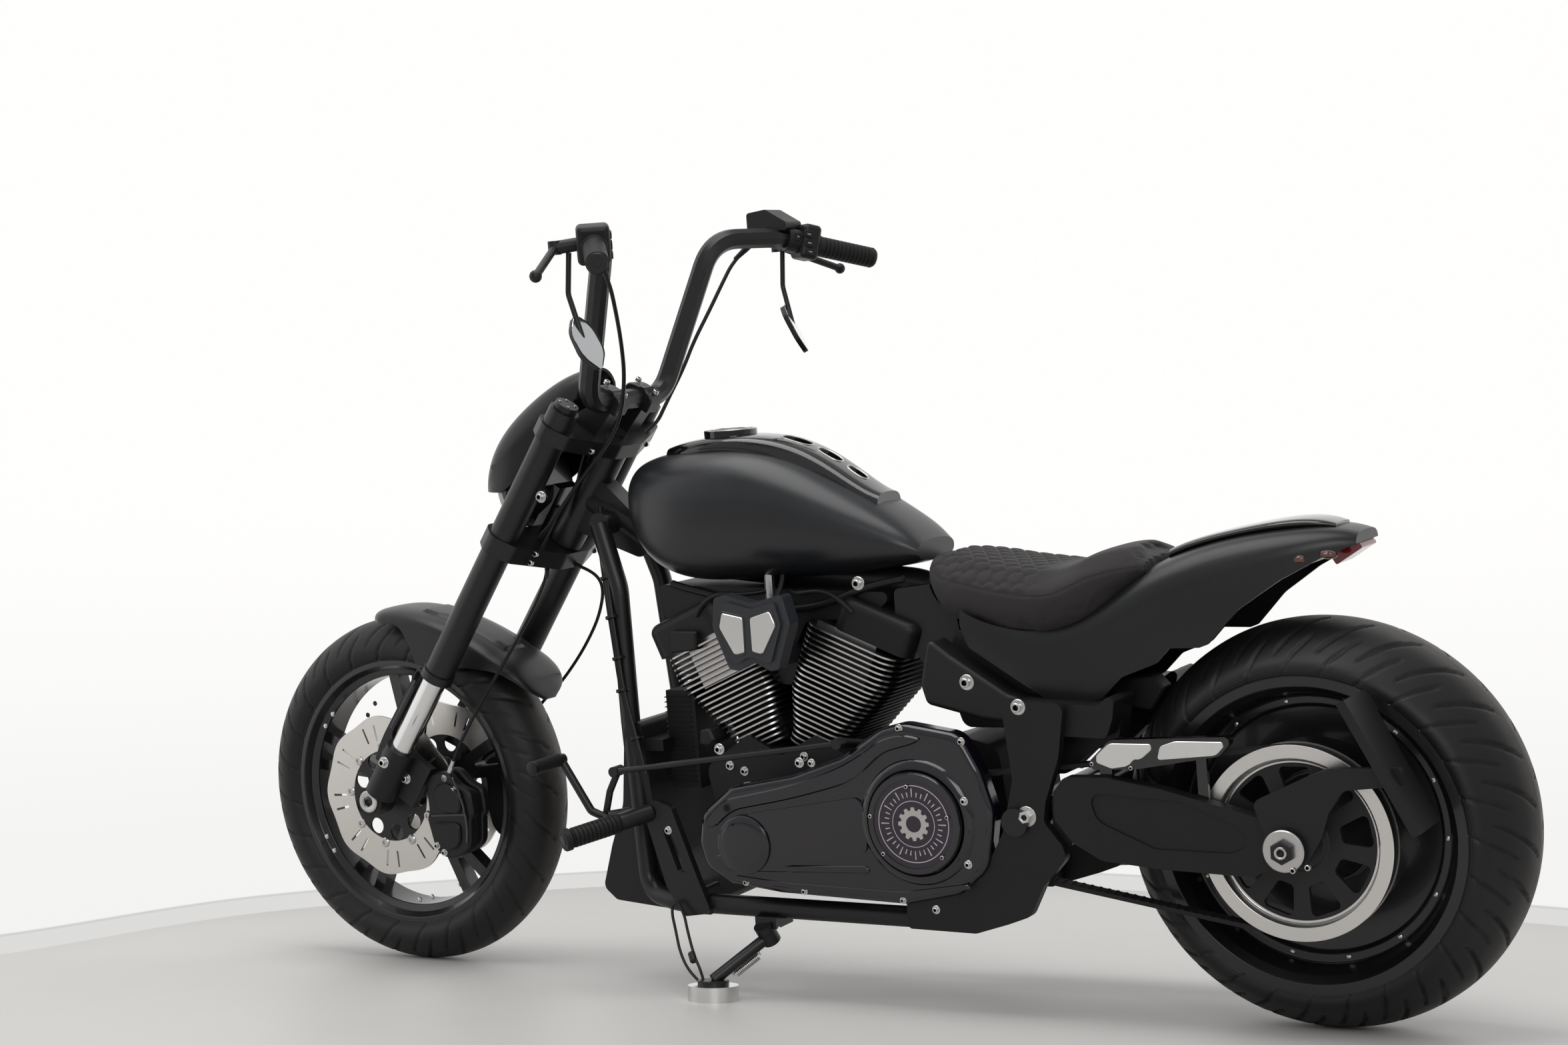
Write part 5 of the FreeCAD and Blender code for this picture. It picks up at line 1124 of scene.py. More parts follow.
def mirrored(spot, side):
    """A point on the left of the machine, or its mirror image on the right where side is -1."""
    return spot[0], side * spot[1], spot[2]


def ribs(start, end, pitch, high, low, width, floor=1.2):
    """The ribbed part of a sleeve's profile: even ribs with a flat floor between them."""
    profile = []
    while start < end:
        foot = start + width + 0.8
        profile += [(high, start), (high, start + width), (low, foot), (low, foot + floor)]
        start += pitch
    return profile


def handlebar():
    """High bar in one thick tube, thinner under the controls, and its ribbed grips."""
    right = [(x, -y, z, turn) for x, y, z, turn in reversed(BAR_CORNERS)]
    line = rounded(BAR_CORNERS + right, closed=False, steps=10)
    dense, wide = [], []
    for a, b in zip(line, line[1:]):
        pieces = max(1, int((b - a).length / 9))
        for step in range(pieces):
            spot = a.lerp(b, step / pieces)
            dense.append(spot)
            wide.append(1.0 - 0.2 * clipped((abs(spot.y) - 290) / 18))
    dense.append(line[-1])
    wide.append(0.8)
    bar = Piece("handlebar_tube", "steering", SATIN)
    bar.pipe(dense, BAR_RADIUS, STEERED, widths=wide)
    bar.done("handlebar")
    grips = Piece("grip_ribs", "steering", BLACK_RUBBER, SATIN)
    profile = [(14.6, 0), (21.4, 0.4), (21.8, 2.5), (21.4, 5.2), (18.2, 7)]
    profile += ribs(9, 106, 8, 18.7, 17.3, 5.4)
    profile += [(18.8, 113.6), (18.8, 117.0), (17.6, 118.6), (14.6, 118.6)]
    cap = [(14.0, 114), (16.8, 119), (16.8, 120.6), (15.4, 122.2), (6.0, 122.8), (5.2, 120.4), (0, 120.4)]
    for side in (1, -1):
        hand = stood(mirrored(GRIP_START, side), mirrored(GRIP_WAY, side), (0, 0, 1))
        grips.turned(profile, hand, 0, 36)
        grips.turned(cap, hand, 1, 36)
    grips.done("grips")


def wheel_spot(x, z, reach, turn, y=0.0):
    """A point of the machine at a distance and an angle from a wheel's axle."""
    return Vector((x + reach * math.cos(turn), y, z + reach * math.sin(turn)))


def fender_ring(turn):
    """Points round the fender's thin section at an angle about the front axle, as X, Y, Z."""
    kick, skirt, crown, half = between(FENDER_STATIONS, turn)
    reach = FENDER_REACH + kick
    edge = [(reach - crown - max(skirt, 0.5) * step / 6, half) for step in range(1, 7)]
    line = edge[::-1]
    for step in range(41):
        angle = math.pi * step / 40
        y = half * math.copysign(abs(math.cos(angle)) ** 0.72, math.cos(angle))
        line.append((reach - crown + crown * abs(math.sin(angle)) ** 0.72, y))
    line += [(radius, -y) for radius, y in edge]
    start, end = FENDER_PANEL
    panel = clipped((turn - start) / 0.9) * clipped((end - turn) / 0.9)
    wide = 37 - 9 * clipped((turn - start) / (end - start))
    outer, inner = [], []
    for radius, y in line:
        outer.append((radius + 4.5 * clipped((wide - abs(y)) / 2.5) * panel, y))
        sunk = min(radius, reach - 1) - FENDER_WALL if abs(y) < half * 0.8 else radius - 1.2
        inner.append((sunk, y * (1 - FENDER_WALL / FENDER_HALF)))
    angle = math.radians(turn)
    ring = outer + inner[::-1]
    return [(FRONT_X + a * math.cos(angle), b, FRONT_UP + a * math.sin(angle)) for a, b in ring]


def fender():
    """Short rounded front fender with a raised panel, an oval port and slotted struts."""
    piece = Piece("fender_shell", "steering", SATIN, GLOSS)
    piece.rows([fender_ring(86 + step / 2) for step in range(133)], ends=True)
    strut = [(6, 62, 4), (56, 52, 6), (62, 96, 20), (57, 256, 6), (42, 256, 6), (46, 112, 16), (6, 92, 4)]
    slot = [(20, 70, 6), (48, 66, 6), (50, 84, 6), (22, 86, 6)]
    long_slot = [(51, 124, 3), (57, 124, 3), (54, 236, 3), (48, 236, 3)]
    for side in (1, -1):
        hold = on_side(side * 96, side > 0, FORKED)
        piece.slab(strut, 0, 12, hold, 0, 1.2)
        piece.slab(slot, 11.4, 12.6, hold, 1, 0.3)
        piece.slab(long_slot, 11.4, 12.5, hold, 1, 0.3)
        piece.slab([(57, 260, 6), (42, 260, 6), (42, 222, 6), (57, 222, 6)], -20.5, 12, hold, 0, 2)
    piece.done("front_fender")
    port = Piece("fender_port", "steering", STEEL, GLOSS)
    angle = math.radians(108.4)
    out = upright_way(math.cos(angle), 0, math.sin(angle))
    along = upright_way(math.sin(angle), 0, -math.cos(angle))
    hold = facing(MACHINE @ wheel_spot(FRONT_X, FRONT_UP, 341, angle), out, along)
    port.turned([(10.4, -2), (10.4, 1.4), (12.2, 2.4), (13.8, 1.4), (14.4, -2)], hold, 0, 40, stretch=1.5)
    port.turned([(0, 0.4), (11.2, 0.4), (11.2, -1)], hold, 1, 40, stretch=1.5)
    port.done()


def lamp_front():
    """Headlamp: bright bezel, glass and a smooth bowl behind."""
    piece = Piece("headlamp_glass", "steering", GLASS, STEEL)
    hold = stood((1428.5, 0, 882.1), (1, 0, -0.12), (0, 1, 0))
    dome, rim = 150, 72
    level = 34.6 - (dome ** 2 - rim ** 2) ** 0.5
    piece.turned([(radius, level + (dome ** 2 - radius ** 2) ** 0.5) for radius in range(0, rim + 1, 6)],
                 hold, 0, 64)
    piece.turned([(71, 33), (71.5, 37.6), (74.5, 38.4), (76.8, 36.4), (76.8, 30), (76, 28)], hold, 1, 64)
    piece.done()


RISER_CAP = MACHINE @ Matrix.Translation((1228.4, 0, 1024.6)) @ Matrix.Rotation(-RAKE, 4, "Y")


def riser_caps():
    """Clamp blocks over the bar's middle."""
    piece = Piece("riser_caps", "steering", SATIN)
    outline = [(-31, -12, 4), (-31, 16, 9), (-13, 24, 12), (13, 24, 12), (31, 16, 9), (31, -12, 4)]
    for side in (1, -1):
        piece.slab(outline, -17, 17, on_side(side * 50, frame=RISER_CAP), 0, 2.5)
    piece.done()


def clamp_screws():
    """Bolts on both clamps, on the riser caps and on the upper clamp's top."""
    spots = []
    top = upright_way(-math.sin(RAKE), 0, math.cos(RAKE))
    flat = upright_way(0, 1, 0)
    for side in (1, -1):
        spots += side_spots("lower_clamp", ((1377, 766), (1388, 751)), 0.95, side, 260, 0.2)
        spots += side_spots("upper_clamp", ((1249, 941),), 0.9, side, 260, 0.2)
        for ahead in (-21, 21):
            spots.append((RISER_CAP @ Vector((ahead, side * 50, 23)), top, flat, 1.0))
        for turn in ring_of(4, 0.5):
            place = FORKED @ Vector((14 * math.cos(turn), side * 130 + 14 * math.sin(turn), 861))
            spots.append((place, top, flat, 0.45))
    fastened("clamp_screws", "steering", BRIGHT_SCREW, SOCKET_SCREW, spots)


def caliper_screws():
    """Bolts on the fork's bottoms and on the calipers."""
    spots = []
    for side in (1, -1):
        spots += side_spots("fork_bottoms", ((1640, 416), (1688, 364)), 0.95, side, 240, 0.2)
        spots += [spot_at((x, side * 115.6, z), (0, side, 0), (1, 0, 0), 0.62)
                  for x, z in ((1589, 344), (1595, 277), (1621, 228), (1636, 240))]
    fastened("caliper_screws", "steering", BRIGHT_SCREW, WASHER_SCREW, spots)


def caliper_bodies():
    """Two-part front calipers with raised lobes, a bridge and a short brake pipe."""
    calipers = Piece("caliper_bodies", "steering", CAST, GLOSS)
    body = [(1651, 361, 10), (1635, 374, 10), (1605, 377, 14), (1580, 352, 8), (1553, 340, 10),
            (1549, 300, 6), (1557, 290, 6), (1561, 240, 14), (1590, 219, 14), (1624, 218, 12),
            (1643, 236, 10), (1656, 289, 12), (1650, 300, 8)]
    bridge = [(1555, 336, 8), (1563, 243, 10), (1592, 223, 10), (1612, 224, 8), (1614, 238, 8),
              (1600, 262, 10), (1596, 300, 10), (1600, 336, 8), (1590, 346, 8)]
    lobes = [[(1572, 334, 14), (1574, 300, 14), (1622, 302, 14), (1636, 330, 14), (1622, 356, 14),
              (1596, 356, 14)],
             [(1578, 284, 14), (1580, 246, 14), (1600, 232, 12), (1628, 236, 12), (1640, 284, 14)]]
    for side in (1, -1):
        hold = on_side(side * 87, side > 0)
        calipers.slab(body, 7, 29, hold, 0, 3.5)
        calipers.slab(body, -27, -7, hold, 0, 3.5)
        calipers.slab(bridge, -8, 8, hold, 0, 1)
        for lobe in lobes:
            calipers.slab(lobe, 28, 35, hold, 0, 3)
        calipers.slab([(1566, 296, 3), (1644, 292, 3), (1644, 298, 3), (1566, 302, 3)], 27, 30.5, hold, 1,
                      0.8)
        pipe = [(1588, 118, 366), (1574, 122, 350), (1556, 118, 300), (1566, 118, 250)]
        calipers.pipe([mirrored(spot, side) for spot in pipe], 2.4, smooth=True, finish=1)
    calipers.done("front_calipers")


def axle_ends():
    """Ringed ends of the front axle with a six-sided hollow."""
    axle = Piece("front_axle_end", "steering", STEEL, SATIN)
    for side in (1, -1):
        face = level_of("front_axle", FRONT_X + 14, 324.2, side)
        hold = stood((FRONT_X, face, 324.2), (0, side, 0))
        axle.turned([(10.6, -3), (10.6, 1.4), (12.2, 2.2), (18.6, 2.0), (20.2, 0.4), (20.4, -6)], hold, 0, 40)
        axle.turned([(7.4, -1), (7.8, 1.0), (9.8, 1.0), (10.4, -2)], hold, 1, 6)
        axle.turned([(0, -2.6), (10.9, -2.6)], hold, 1, 32)
    axle.done()


def mirror_glasses():
    """Pointed glasses in both mirrors, turned to the rider."""
    glass = Piece("mirror_glasses", "steering", MIRROR, SATIN)
    leaf = [(-51, 0, 5), (-22, 22, 14), (22, 24, 14), (52, 0, 5), (23, -20, 14), (-21, -22, 14)]
    for side in (1, -1):
        hold = stood((1066.3, side * 338.3, 1128.2), (-0.84, side * 0.30, 0.42), upright_way(0.42, 0, 0.9))
        glass.slab(leaf, 0.2, 1.3, hold, 0, 0.4)
    glass.done()


def oblong(wide, tall, corner):
    """A rounded rectangle's corners about its middle."""
    return [(-wide, -tall, corner), (wide, -tall, corner), (wide, tall, corner), (-wide, tall, corner)]


def switch_keys():
    """Buttons on the switch housings."""
    keys = Piece("switch_keys", "steering", BLACK_RUBBER, STEEL, SATIN)
    for side in (1, -1):
        way = upright_way(*mirrored(GRIP_WAY, side))
        up = upright_way(0, 0, 1)
        back = (way.cross(up) * side).normalized()
        if back.dot(upright_way(-1, 0, 0)) < 0:
            back = -back
        centre = MACHINE @ Vector((1045.4, side * 332.0, 1284.7))
        for along, rise, wide, tall in ((14, 16, 9, 6), (14, 0, 9, 7), (14, -16, 9, 6), (-6, 8, 5, 8)):
            spot = centre + (way * (along - 4) + up * (rise - 2)) * MILLI
            hit, place, _, _ = nodes["hand_controls"].ray_cast(spot + back * 0.08, -back)
            if not hit:
                continue
            hold = facing(place, back, way)
            keys.slab(oblong(wide, tall, 3), -1, 3, hold, 0, 1)
            keys.slab(oblong(wide * 0.4, 1, 0.8), 2.8, 3.4, hold, 1, 0.2)
    keys.done()


handlebar()
riser_caps()
fender()
lamp_front()
clamp_screws()
caliper_screws()
caliper_bodies()
axle_ends()
mirror_glasses()
switch_keys()


# Engine and frame trim

def horn_trim():
    """Two bright insets and their dark step on the horn cover."""
    piece = Piece("horn_insets", "chassis", SILVER, GLOSS)
    left = [(948, 669, 4), (909, 661, 4), (910, 603, 4), (929, 599, 6), (955, 645, 5)]
    right = [(857, 671, 5), (895, 660, 4), (895, 605, 4), (876, 600, 6), (847, 648, 5)]
    face = on_side(186)
    for outline in (left, right):
        x_mid, z_mid = (sum(corner[axis] for corner in outline) / len(outline) for axis in (0, 1))
        wider = [(x_mid + 1.13 * (x - x_mid), z_mid + 1.11 * (z - z_mid), turn) for x, z, turn in outline]
        piece.slab(wider, -1, 0.8, face, 1, 0.3)
        piece.slab(outline, -1, 2.4, face, 0, 1.2)
    piece.done()


def derby():
    """Round clutch cover: a rim, fine rings and a plain gear with rays, with five screws."""
    piece = Piece("clutch_badge", "chassis", STEEL, DERBY, GLOSS)
    hold = stood((604, 218, 335), (0, 1, 0), upright_way(0, 0, 1))
    piece.turned([(70.5, -1), (71, 1.2), (73.2, 1.8), (80, 1.2), (82.2, -2), (82.4, -9)], hold, 2, 96)
    piece.turned([(60.5, -1), (60.7, 0.5), (62.2, 0.5), (62.4, -1)], hold, 0, 96)
    piece.turned([(36.0, -1), (36.2, 0.5), (37.4, 0.5), (37.6, -1)], hold, 0, 96)
    teeth = []
    for tooth in range(12):
        for share, reach in ((-0.34, 22), (-0.2, 27), (0.2, 27), (0.34, 22)):
            turn = 2 * math.pi * (tooth + share) / 12
            teeth.append((reach * math.cos(turn), reach * math.sin(turn), 0.6))
    piece.slab(teeth, -1, 0.5, hold, 0)
    piece.turned([(0, 0.9), (13, 0.9), (13.4, 0.2)], hold, 1, 48)
    for ray, turn in enumerate(ring_of(36)):
        ahead = Vector((math.cos(turn), math.sin(turn)))
        side = Vector((-ahead.y, ahead.x))
        reach = 57 if ray % 3 == 0 else 51
        outline = [(*(ahead * along + side * wide), 0.2)
                   for along, wide in ((43, -0.7), (reach, -1.1), (reach, 1.1), (43, 0.7))]
        piece.slab(outline, -1, 0.5, hold, 0)
    piece.done()
    spots = [spot_at((x, 219.4, z), (0, 1, 0), (1, 0, 0), 0.6)
             for x, z in ((611, 395), (679, 346), (543, 348), (660, 286), (556, 284))]
    fastened("clutch_cover_screws", "chassis", BRIGHT_SCREW, SOCKET_SCREW, spots)


def primary_trim():
    """Raised ribs and lands on the primary cover, and its bright screws."""
    piece = Piece("primary_ribs", "chassis", PRIMARY)
    face = on_side(203.5)
    piece.slab([(1004, 322, 20), (960, 362, 20), (842, 386, 40), (742, 418, 40), (690, 446, 30),
                (662, 466, 20), (622, 476, 30), (585, 470, 20), (600, 460, 20), (656, 446, 20),
                (716, 396, 40), (830, 366, 40), (944, 344, 20), (986, 310, 20)], -2, 4.6, face, 0, 2.2)
    piece.slab([(694, 249, 8), (962, 242, 14), (986, 262, 12), (978, 270, 10), (900, 254, 20), (700, 262, 8)],
               -2, 3.6, face, 0, 1.6)
    piece.slab([(516, 232, 8), (640, 212, 20), (860, 219, 20), (952, 228, 10), (950, 236, 8), (860, 228, 20),
                (640, 222, 20), (524, 240, 8)], -2, 2.6, face, 0, 1.0)
    hold = stood((925, 213, 288), (0, 1, 0))
    piece.turned([(0, 2.4), (30, 2.2), (38, 1.4), (43, 0.2), (48.6, -1.6), (49.2, -4)], hold, 0, 72)
    ring = stood((604, 204, 335), (0, 1, 0))
    piece.turned([(83, -3), (83, 5.5), (86, 8.5), (92, 8.0), (99, 3.0), (103, -3)], ring, 0, 96)
    piece.done()
    spots = []
    for mark in ((622, 490), (514, 468), (465, 393), (465, 293), (526, 218), (733, 452), (1018, 328)):
        mark = Vector(mark)
        spots += side_spots("primary_cover", [mark + (Vector((740, 335)) - mark).normalized() * 7], 0.62)
    spots += side_spots("primary_cover", [(820, 214), (930, 224), (640, 208)], 0.55)
    fastened("primary_screws", "chassis", BRIGHT_SCREW, WASHER_SCREW, spots)


def case_screws():
    """Screws on the engine case and the cylinders."""
    spots = side_spots("engine_case", [(1008, 398), (980, 389), (862, 416), (755, 445)], 0.75)
    spots += side_spots("cylinders", [(901, 464)], 0.85)
    spots += side_spots("engine_case", [(1008, 398), (800, 398), (700, 250), (1000, 250)], 0.75, -1)
    fastened("case_screws", "chassis", BRIGHT_SCREW, WASHER_SCREW, spots)


def spark_leads():
    """The loom under the tank and the leads to the plugs between the cylinders."""
    leads = Piece("spark_leads", "chassis", CORD_BLACK, BRIGHT_SCREW)
    leads.pipe([(1118, 66, 706), (1098, 66, 699), (1056, 66, 691), (980, 66, 668), (874, 66, 656),
                (790, 66, 674), (736, 66, 698), (672, 62, 706)], 6.5, smooth=True)
    leads.pipe([(884, 62, 690), (860, 84, 684), (812, 92, 702), (776, 92, 676), (757, 88, 655)], 4.2,
               smooth=True)
    leads.pipe([(934, 62, 690), (968, 90, 684), (1010, 96, 700), (1046, 94, 672), (1060, 88, 652)], 4.2,
               smooth=True)
    leads.pipe([(927, 60, 720), (927, 60, 676)], 9, finish=1)
    leads.pipe([(898, 62, 722), (900, 66, 690), (912, 80, 672)], 4.2, smooth=True)
    leads.done()


def sensor_boxes():
    """Small black boxes in the engine's gaps and in front of the rear tyre."""
    box = Piece("sensor_boxes", "chassis", PLASTIC, GLOSS)
    box.slab([(1109, 628, 5), (1055, 627, 5), (1058, 595, 5), (1112, 589, 5)], 60, 102, on_side(0), 0, 3)
    box.slab([(1053, 461, 6), (1034, 464, 6), (1024, 442, 6), (1037, 432, 6), (1057, 435, 6)], 60, 118,
             on_side(0), 0, 4)
    box.slab([(317, 541, 5), (249, 550, 5), (230, 529, 5), (254, 494, 5), (319, 505, 5)], 30, 66, on_side(0),
             0, 3)
    box.done()


def frame_screws():
    """Bolts on the frame's sides, and the nuts and washers of the swingarm's pivot."""
    spots = []
    nuts = []
    for side in (1, -1):
        spots += side_spots("frame_plates", [(453, 574), (371, 537)], 1.12, side)
        nuts += side_spots("frame_plates", [(419, 348)], 1.05, side)
    spots += side_spots("frame_backbone", [(1210, 880)], 0.9)
    spots += side_spots("fuel_tank", [(627, 727)], 1.0)
    fastened("frame_screws", "chassis", BRIGHT_SCREW, WASHER_SCREW, spots)
    fastened("pivot_nuts", "chassis", BRIGHT_SCREW, HEX_NUT, nuts)
    fastened("pivot_washers", "chassis", STEEL, NUT_WASHER, nuts)


def guard_insets():
    """Two bright insets on the belt guard."""
    piece = Piece("guard_insets", "chassis", SILVER, GLOSS)
    face = on_side(level_of("belt_guard", 200, 450, 1))
    first = [(296, 446, 4), (275, 465, 8), (206, 465, 5), (206, 456, 3), (224, 441, 6), (234, 441, 3),
             (247, 430, 4), (272, 426, 4), (296, 435, 3)]
    second = [(192, 462, 5), (168, 470, 6), (93, 470, 4), (92, 462, 3), (105, 449, 6), (194, 441, 3),
              (197, 444, 2)]
    piece.slab(first, -1, 1.5, face, 0, 0.7)
    piece.slab(second, -1, 1.5, face, 0, 0.7)
    piece.done()


def axle_washers():
    """Washer, nut and threaded end on both sides of the rear axle."""
    piece = Piece("axle_washers", "chassis", STEEL, SATIN)
    for side in (1, -1):
        hold = stood((0, level_of("rear_axle", 8, REAR_UP, side) - side * 3, REAR_UP), (0, side, 0))
        piece.turned([(14, -1), (14, 2.2), (15, 3.2), (30, 3.0), (31.4, 1.6), (31.6, -1)], hold, 0, 60)
        piece.turned([(9.8, 1), (10, 12.4), (11, 13.6), (15.8, 13.4), (18.2, 11.6), (18.6, 3)], hold, 1, 6)
        piece.turned([(5.5, 2), (5.8, 15.4), (6.6, 16.2), (9.0, 16.2), (9.8, 15.0), (9.8, 2)], hold, 0, 36)
        piece.turned([(0, 8), (6, 8)], hold, 1, 24)
    piece.done()


def rear_screws():
    """Screws on the plate holder and the belt guard."""
    spots = side_spots("plate_holder", [(-40, 307), (-62, 312)], 0.8)
    spots += side_spots("belt_guard", [(303, 433), (240, 428)], 0.6)
    fastened("rear_screws", "chassis", BRIGHT_SCREW, SOCKET_SCREW, spots)


def round_spots(name, turns, x, z, reach, start, big):
    """Fastener spots on both faces of a wheel, at angles about its axle."""
    return [spot_on(name, wheel_spot(x, z, reach, math.radians(turn), side * start), (0, -side, 0),
                    (1, 0, 0), big) for turn in turns for side in (1, -1)]


def wheel_trim():
    """Bolts on the rims and the floating discs."""
    pairs = [41.5 + 72 * pair + offset for pair in range(5) for offset in (-4.3, 4.3)]
    fastened("front_rim_bolts", "front_wheel", BRIGHT_SCREW, RIVET,
             round_spots("front_rim", pairs, FRONT_X, FRONT_UP, 203, 62, 1.0))
    fastened("disc_buttons", "front_wheel", STEEL, BUTTON,
             round_spots("front_discs", range(3, 360, 40), FRONT_X, FRONT_UP, 92, 120, 0.95))
    turns = [2 + 360 / 14 * rivet for rivet in range(14)]
    fastened("rear_rim_rivets", "rear_wheel", BRIGHT_SCREW, RIVET,
             round_spots("rear_rim", turns, 0, REAR_UP, 197, 140, 0.8))


horn_trim()
derby()
primary_trim()
case_screws()
spark_leads()
sensor_boxes()
frame_screws()
guard_insets()
axle_washers()
rear_screws()
wheel_trim()


# Tank, tail and stand

def cap_trim():
    """Flush fuel cap: a bright ring, a knurled step and a plain middle."""
    piece = Piece("cap_ring", "chassis", STEEL, GLOSS)
    hold = stood((1018, 0, 962), (0, 0, 1))
    piece.turned([(40.5, -3), (41, 0.8), (42.4, 1.6), (44.6, 1.3), (45.6, 0), (45.9, -3)], hold, 0, 72)
    piece.turned([(0, 1.2), (26, 1.2), (27, 2.4), (33, 2.2), (34, 0.6), (40, 0.4), (40.8, -1)], hold, 1, 72)
    piece.done()


def console_rims():
    """Bright rims round the console's three openings."""
    rims = Piece("console_rims", "chassis", STEEL, GLOSS)
    for x, run, half in ((887, 26, 19), (826, 20, 15), (776, 16, 12)):
        line = []
        for turn in ring_of(48):
            c, s = math.cos(turn), math.sin(turn)
            spot = (x + (run + 1.2) * math.copysign(abs(c) ** 0.85, c),
                    (half + 1.2) * math.copysign(abs(s) ** 0.85, s))
            place, _ = touched("tank_console", (*spot, 1000), (0, 0, -1))
            line.append((*spot, (MACHINE.inverted() @ place).z))
        rims.pipe(line, 1.7, closed=True)
    rims.done()


def tail_trim():
    """Side lights and their fine frames."""
    piece = Piece("tail_side_lights", "chassis", SIDE_LENS, GLOSS)
    for side in (1, -1):
        for x, z, long in ((-5, 727, 8), (-45, 732, 12)):
            place, out = touched("tail_section", (x, side * 200, z), (0, -side, 0))
            hold = facing(place, out, upright_way(1, 0, 0.1))
            piece.turned([(0, 2.6), (3.2, 2.4), (4.8, 1.0), (5.2, -1.5)], hold, 0, 32, stretch=long / 5)
            piece.turned([(5.0, -1.5), (5.4, 1.0), (6.2, 0.8), (6.6, -1.5)], hold, 1, 32, stretch=long / 5.6)
    piece.done()


BELT_Y = 154
TOOTH_STEP = 14
TOOTH_LIFT = 1.2
STAND_PIVOT = Vector((920, 160, 124))
STAND_FOOT = Vector((985, 245, 33.6))
FLOOR_WAY = Vector((0, -math.sin(LEAN), math.cos(LEAN)))
STAND_FOLDED = Vector((-110, 58, -12))


def stand_coil():
    """Coil spring along the side stand's leg, hooked at both ends."""
    leg = STAND_FOOT + FLOOR_WAY * 33 - STAND_PIVOT
    hinge = leg.cross(STAND_FOLDED).normalized()
    aside = hinge * 18
    start = STAND_PIVOT + leg * 0.24 - aside
    end = STAND_PIVOT + leg * 0.72 - aside
    way = (end - start).normalized()
    across_way = way.orthogonal().normalized()
    third = way.cross(across_way)
    line = [start + aside * 0.9, start]
    turns = 15
    for step in range(turns * 12 + 1):
        share = step / (turns * 12)
        turn = 2 * math.pi * turns * share
        round_way = across_way * math.cos(turn) + third * math.sin(turn)
        line.append(start.lerp(end, 0.08 + 0.84 * share) + round_way * 5.2)
    line += [end, end + aside * 0.9]
    coil = Piece("stand_coil", "side_stand", STEEL)
    coil.pipe(line, 1.35)
    coil.done("stand_spring")


def belt_teeth():
    """Teeth along both straight runs of the drive belt."""
    spots = []
    for start, end in (((614.3, 273.5), (23.5, 175.0)), ((610.4, 397.1), (14.6, 458.2))):
        start, end = Vector((start[0], BELT_Y, start[1])), Vector((end[0], BELT_Y, end[1]))
        run = end - start
        inward = Vector((-run.z, 0, run.x)).normalized()
        if inward.dot(Vector((300, BELT_Y, 325)) - start) < 0:
            inward = -inward
        count = int(run.length / TOOTH_STEP)
        for tooth in range(count):
            spot = start + run * (tooth + 0.5) / count + inward * TOOTH_LIFT
            spots.append(spot_at(spot, inward, run, 1.0))
    fastened("belt_teeth", "chassis", BLACK_RUBBER, BELT_TOOTH, spots)


def pegs():
    """Ribbed rubber sleeves on the foot pegs and the shift lever's toe."""
    piece = Piece("peg_rubbers", "chassis", BLACK_RUBBER, SATIN)
    for side in (1, -1):
        way = Vector((86, side * 138, -23))
        length = way.length
        hold = stood((1136, side * 162, 326), way, (0, 0, 1))
        profile = [(9, length * 0.36), (15.5, length * 0.36), (16.6, length * 0.38)]
        profile += ribs(length * 0.40, length - 16, 7.6, 17.2, 15.2, 4.4, 1.6)
        profile += [(17.6, length - 13), (19.2, length - 11), (19.2, length - 2), (17.6, length), (0, length)]
        piece.turned(profile, hold, 0, 36)
        piece.turned([(0, length + 1.6), (9, length + 1.4), (10.6, length - 1)], hold, 1, 28)
    way = Vector((13, 76, -4))
    hold = stood((1275, 206, 424), way, (0, 0, 1))
    profile = [(8, 10), (11.4, 11)]
    profile += ribs(14, way.length - 8, 6.2, 11.8, 10.2, 3.4)
    profile += [(12.2, way.length - 5), (12.2, way.length + 0.5), (10.6, way.length + 1.6),
                (0, way.length + 1.6)]
    piece.turned(profile, hold, 0, 30)
    piece.done()


def looms():
    """Wiring down the left frame tube with its ties, and the wires in the fork."""
    piece = Piece("frame_loom", "chassis", CORD_BLACK, PLASTIC)
    route = [(1273, 40, 841), (1262, 60, 796), (1243, 80, 719), (1228, 95, 652), (1217, 100, 581),
             (1209, 108, 526), (1185, 112, 443), (1168, 118, 382)]
    piece.pipe(route, 4.6, smooth=True)
    piece.pipe([(x + 9, y - 4, z + 3) for x, y, z in route], 3.4, smooth=True)
    for x, y, z in route[1:-1]:
        hold = stood((x + 2, y - 2, z), (-0.25, 0.2, -1))
        piece.turned([(9.5, -2.6), (11.4, -2.2), (11.4, 2.2), (9.5, 2.6)], hold, 1, 24, closed=True)
    piece.done()
    wires = Piece("fork_wires", "steering", CORD_BLACK)
    for shift in range(5):
        y = -34 + 17 * shift
        wires.pipe([(1262 + 4 * shift, y, 968), (1300, y + 12, 930), (1322, y - 8, 884),
                    (1352 - 3 * shift, y + 6, 838), (1362, y * 0.5, 792)], 2.4 + 0.4 * (shift % 3),
                    smooth=True)
    wires.done()


def cooler_fins():
    """Level fins on the regulator's block."""
    spots = [spot_at((1122, 0, 362 + 8.6 * fin), (0, 0, 1), (1, 0, 0), 1.0) for fin in range(18)]
    fastened("cooler_fins", "chassis", COOLER, COOLER_FIN, spots)


cap_trim()
console_rims()
tail_trim()
stand_coil()
belt_teeth()
pegs()
looms()
cooler_fins()


# Studio: pale floor, white curved wall with a low skirting, soft lamps

